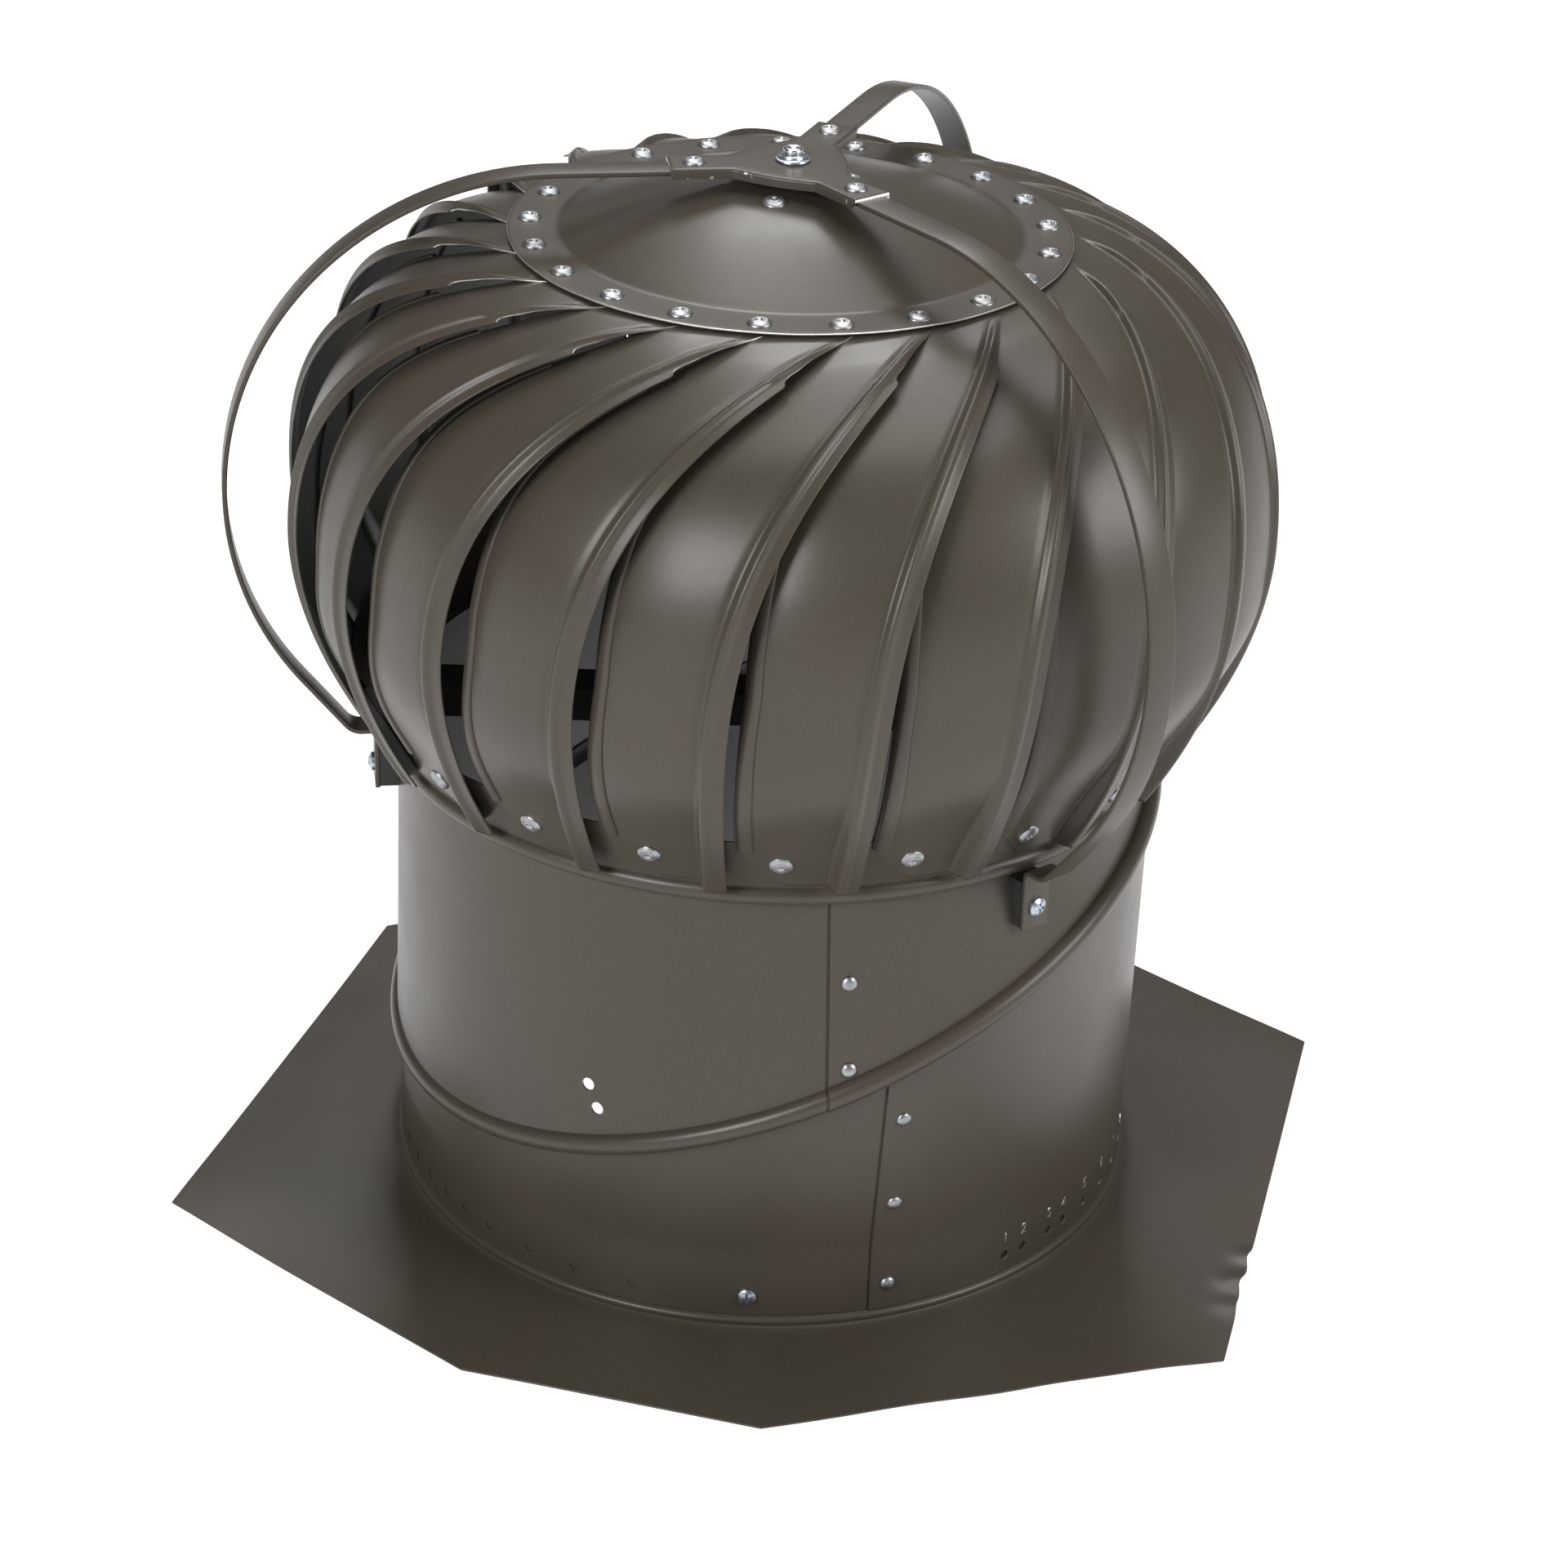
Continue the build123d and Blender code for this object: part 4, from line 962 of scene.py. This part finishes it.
def rounded_rectangle(width, height, radius, steps=4):
    far, high = width / 2 - radius, height / 2 - radius
    corners = [(far, high, 0), (-far, high, 90), (-far, -high, 180), (far, -high, 270)]
    ring = []
    for x, y, start in corners:
        for a in np.radians(np.linspace(start, start + 90, steps + 1)):
            ring.append((x + radius * math.cos(a), y + radius * math.sin(a)))
    return np.array(ring)


def make_arm(index, azimuth):
    line = arm_line()
    section = rounded_rectangle(13.0, 2.0, 0.55)
    a = math.radians(azimuth)
    out, side = np.array([math.cos(a), math.sin(a), 0]), np.array([-math.sin(a), math.cos(a), 0])
    local = np.random.default_rng(300 + index)
    travel = np.arange(len(line)) / len(line)
    sway = 0.35 * np.sin(travel * 7 + local.uniform(0, 6)) * np.sin(travel * math.pi)
    rings = []
    for (r, z, heading), shift in zip(line, sway):
        normal = -math.sin(heading) * out + math.cos(heading) * Z_AXIS
        centre = r * out + z * Z_AXIS + side * shift
        rings.append(centre + section[:, :1] * side + section[:, 1:] * normal)
    build = Build()
    build.loft(rings)
    build.cap(rings[0], 1)
    build.cap(rings[-1], 1, flip=True)
    name = f"brace_arm_{index}"
    build.make(name + "_strip", "upper_collar", [PAINT, PAINT_WORN], sharp=42, replaces=(name,))


for number, azimuth in enumerate(ARMS, 1):
    make_arm(number, azimuth)

HUB_TOP = 442.0
HUB_SHEET = 1.5


def hub_outline():
    """Plan of the Y plate: points, their outward normals, and whether they are on a leg's cut end."""
    leg, half, knee = 48.8, 8.5, 25.0
    corners = []
    for azimuth in ARMS:
        a = math.radians(azimuth)
        turn = np.array([[math.cos(a), -math.sin(a)], [math.sin(a), math.cos(a)]])
        corners += [(turn @ p, tip) for p, tip in (((knee, -half), 0), ((leg, -half), 1), ((leg, half), 1),
                                                   ((knee, half), 0))]
    points, ends = [], []
    for (p, tip), (q, next_tip) in zip(corners, corners[1:] + corners[:1]):
        bow = 0.0 if tip or next_tip else 1.6
        for share in np.linspace(0, 1, 10, endpoint=False):
            points.append(p * (1 - share) + q * share + unit(p + q) * bow * math.sin(share * math.pi))
            ends.append(bool(tip and next_tip))
    points = np.array(points)
    run = unit(np.roll(points, -1, axis=0) - np.roll(points, 1, axis=0))
    return points, np.stack([run[:, 1], -run[:, 0]], -1), np.array(ends)


def make_hub_plate():
    """Y plate with turned-down edges, less deep on the legs' cut ends."""
    points, normals, ends = hub_outline()
    order = np.argsort(np.arctan2(points[:, 1], points[:, 0]))
    points, normals, ends = points[order], normals[order], ends[order]
    depth = np.where(ends, HUB_SHEET, 4.0)
    angle = np.arctan2(points[:, 1], points[:, 0])
    eye = 6.45 * np.stack([np.cos(angle), np.sin(angle)], -1)
    # rings as (share of the way out from the eye, inset from the outline, drop from the top)
    sections = [(0.0, 1.4, 0.0), (0.3, 1.4, 0.0), (0.65, 1.4, 0.0), (1.0, 1.4, 0.0), (1.0, 0.75, 0.08),
                (1.0, 0.3, 0.32), (1.0, 0.06, 0.8), (1.0, 0.0, 1.3), (1.0, 0.0, depth), (1.0, 1.3, depth),
                (1.0, 1.35, HUB_SHEET), (0.6, 1.35, HUB_SHEET), (0.0, 1.35, HUB_SHEET), (0.0, 1.4, 0.0)]
    rings = []
    for share, inset, drop in sections:
        flat = eye + (points - normals * inset - eye) * share
        rings.append(np.column_stack([flat, np.broadcast_to(HUB_TOP - drop, len(points))]))
    slots = np.zeros((len(points), len(rings) - 1), int)
    slots[:, 4:9] = 2
    slots[ends, 5:9] = 1
    build = Build()
    build.grid(np.stack(rings, 1), slots, wrap=True)
    build.make("hub_plate", "upper_collar", [PAINT, CUT_EDGE, PAINT_CHIPPED], sharp=40,
               replaces=("brace_hub_plate",))


make_hub_plate()
rivet_row("hub_rivets", "upper_collar", "brace_hub_rivets", pop_rivet, 4.6, 140,
          [upright(39.0, azimuth, HUB_TOP) for azimuth in ARMS])


def make_spindle():
    """Spindle with its grooved end, and the push-on clip above the hub."""
    rod = Build()
    revolve(rod, [(0.01, 209.05), (3.4, 209.05), (3.97, 209.6), (3.97, 444.9), (3.55, 445.1), (3.55, 445.5),
                  (3.97, 445.75), (3.97, 446.5), (3.8, 447.0), (3.4, 447.3), (2.8, 447.38), (1.9, 447.2),
                  (1.2, 446.8), (0.01, 446.7)], 48)
    rod.make("spindle_rod", "turbine", [STEEL], sharp=40, replaces=("spindle",))
    clip = Build()
    revolve(clip, [(4.0, 442.4), (6.7, 442.35), (6.9, 442.6), (6.75, 443.1), (5.7, 443.25), (5.2, 443.7),
                   (5.0, 444.5), (4.6, 444.75), (4.0, 444.6)], 48)
    clip.make("spindle_clip", "turbine", [ZINC], sharp=40, replaces=("spindle_retainer",))


make_spindle()


# ---------------------------------------------------------------- finish of the CAD nodes that stay

def finish_node(names, mat):
    for name in names:
        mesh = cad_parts[name].data
        mesh.materials.clear()
        mesh.materials.append(mat)


# the cross bar is painted near-black as painted shade
finish_node(("cross_bar",), BAR_PAINTED_SHADE)
finish_node(("rotor_hub",), PAINT)
finish_node(("cross_bar_rivets",), RIVET)
finish_node(("clamp_screw", "brace_foot_screws", "thrust_ball"), ZINC)
finish_node(("brace_spacer_1", "brace_spacer_2", "brace_spacer_3"), SPACER_BLACK)
finish_node(("lower_bearing", "upper_bush"), BEARING)


# ---------------------------------------------------------------- floor, light and camera

def make_floor():
    """White floor with its own light, so that it stays evenly bright around the object's soft shade."""
    mat, tree, shader = node_material("floor_white")
    coords = add(tree, "ShaderNodeTexCoord").outputs["Object"]
    tint = ramp(tree, noise(tree, coords, 2.0, 2.0), [(0.3, grey(0.28)), (0.7, grey(0.30))])
    tree.links.new(tint, shader.inputs["Base Color"])
    shader.inputs["Roughness"].default_value = 0.85
    shader.inputs["Specular IOR Level"].default_value = 0.2
    shader.inputs["Emission Color"].default_value = (1, 1, 1, 1)
    shader.inputs["Emission Strength"].default_value = 1.0
    half, count = 40.0, 9
    span = np.linspace(-half, half, count)
    bm = bmesh.new()
    rows = [[bm.verts.new((x, y, 0.0)) for x in span] for y in span]
    for near, far in zip(rows, rows[1:]):
        for k in range(count - 1):
            bm.faces.new((near[k], near[k + 1], far[k + 1], far[k]))
    mesh = bpy.data.meshes.new("floor")
    bm.to_mesh(mesh)
    bm.free()
    mesh.materials.append(mat)
    mesh.polygons.foreach_set("use_smooth", np.ones(len(mesh.polygons), bool))
    floor = bpy.data.objects.new("floor", mesh)
    bpy.context.scene.collection.objects.link(floor)


def area_light(name, place_at, target, size, power):
    data = bpy.data.lights.new(name, "AREA")
    data.energy = power
    data.size = size
    lamp = bpy.data.objects.new(name, data)
    bpy.context.scene.collection.objects.link(lamp)
    lamp.location = place_at
    lamp.rotation_euler = (Vector(target) - Vector(place_at)).to_track_quat("-Z", "Y").to_euler()


def make_light():
    world = bpy.data.worlds.new("studio")
    bpy.context.scene.world = world
    bpy.context.scene.view_settings.view_transform = "Standard"
    world.use_nodes = True
    background = world.node_tree.nodes["Background"]
    background.inputs["Color"].default_value = (1, 1, 1, 1)
    background.inputs["Strength"].default_value = 0.14
    area_light("key_left", (-1.3, -1.7, 1.3), (0, 0, 0.25), 0.9, 38.0)
    area_light("key_right", (1.85, -0.85, 1.3), (0, 0, 0.25), 1.1, 36.0)
    area_light("top", (0.1, 0.3, 2.4), (0, 0, 0.2), 1.6, 30.0)
    area_light("back", (-0.1, 2.1, 2.4), (0, 0, 0.3), 0.8, 21.0)


CAMERA_AT = (0.0, -1.51886, 0.9721)


def make_camera():
    """Camera above and before the object, with its heading, tilt and roll in radians."""
    pan, tilt, roll = 0.0033, 0.4874, 0.035
    forward = Vector((math.sin(pan) * math.cos(tilt), math.cos(pan) * math.cos(tilt), -math.sin(tilt)))
    right = Vector((math.cos(pan), -math.sin(pan), 0))
    up = right.cross(forward)
    x_axis = right * math.cos(roll) + up * math.sin(roll)
    y_axis = up * math.cos(roll) - right * math.sin(roll)
    data = bpy.data.cameras.new("camera")
    data.lens, data.sensor_width = 93.75, 36.0
    camera = bpy.data.objects.new("camera", data)
    bpy.context.scene.collection.objects.link(camera)
    turn = Matrix((x_axis, y_axis, -forward)).transposed().to_4x4()
    turn.translation = Vector(CAMERA_AT)
    camera.matrix_world = turn
    bpy.context.scene.camera = camera


make_floor()
make_light()
make_camera()
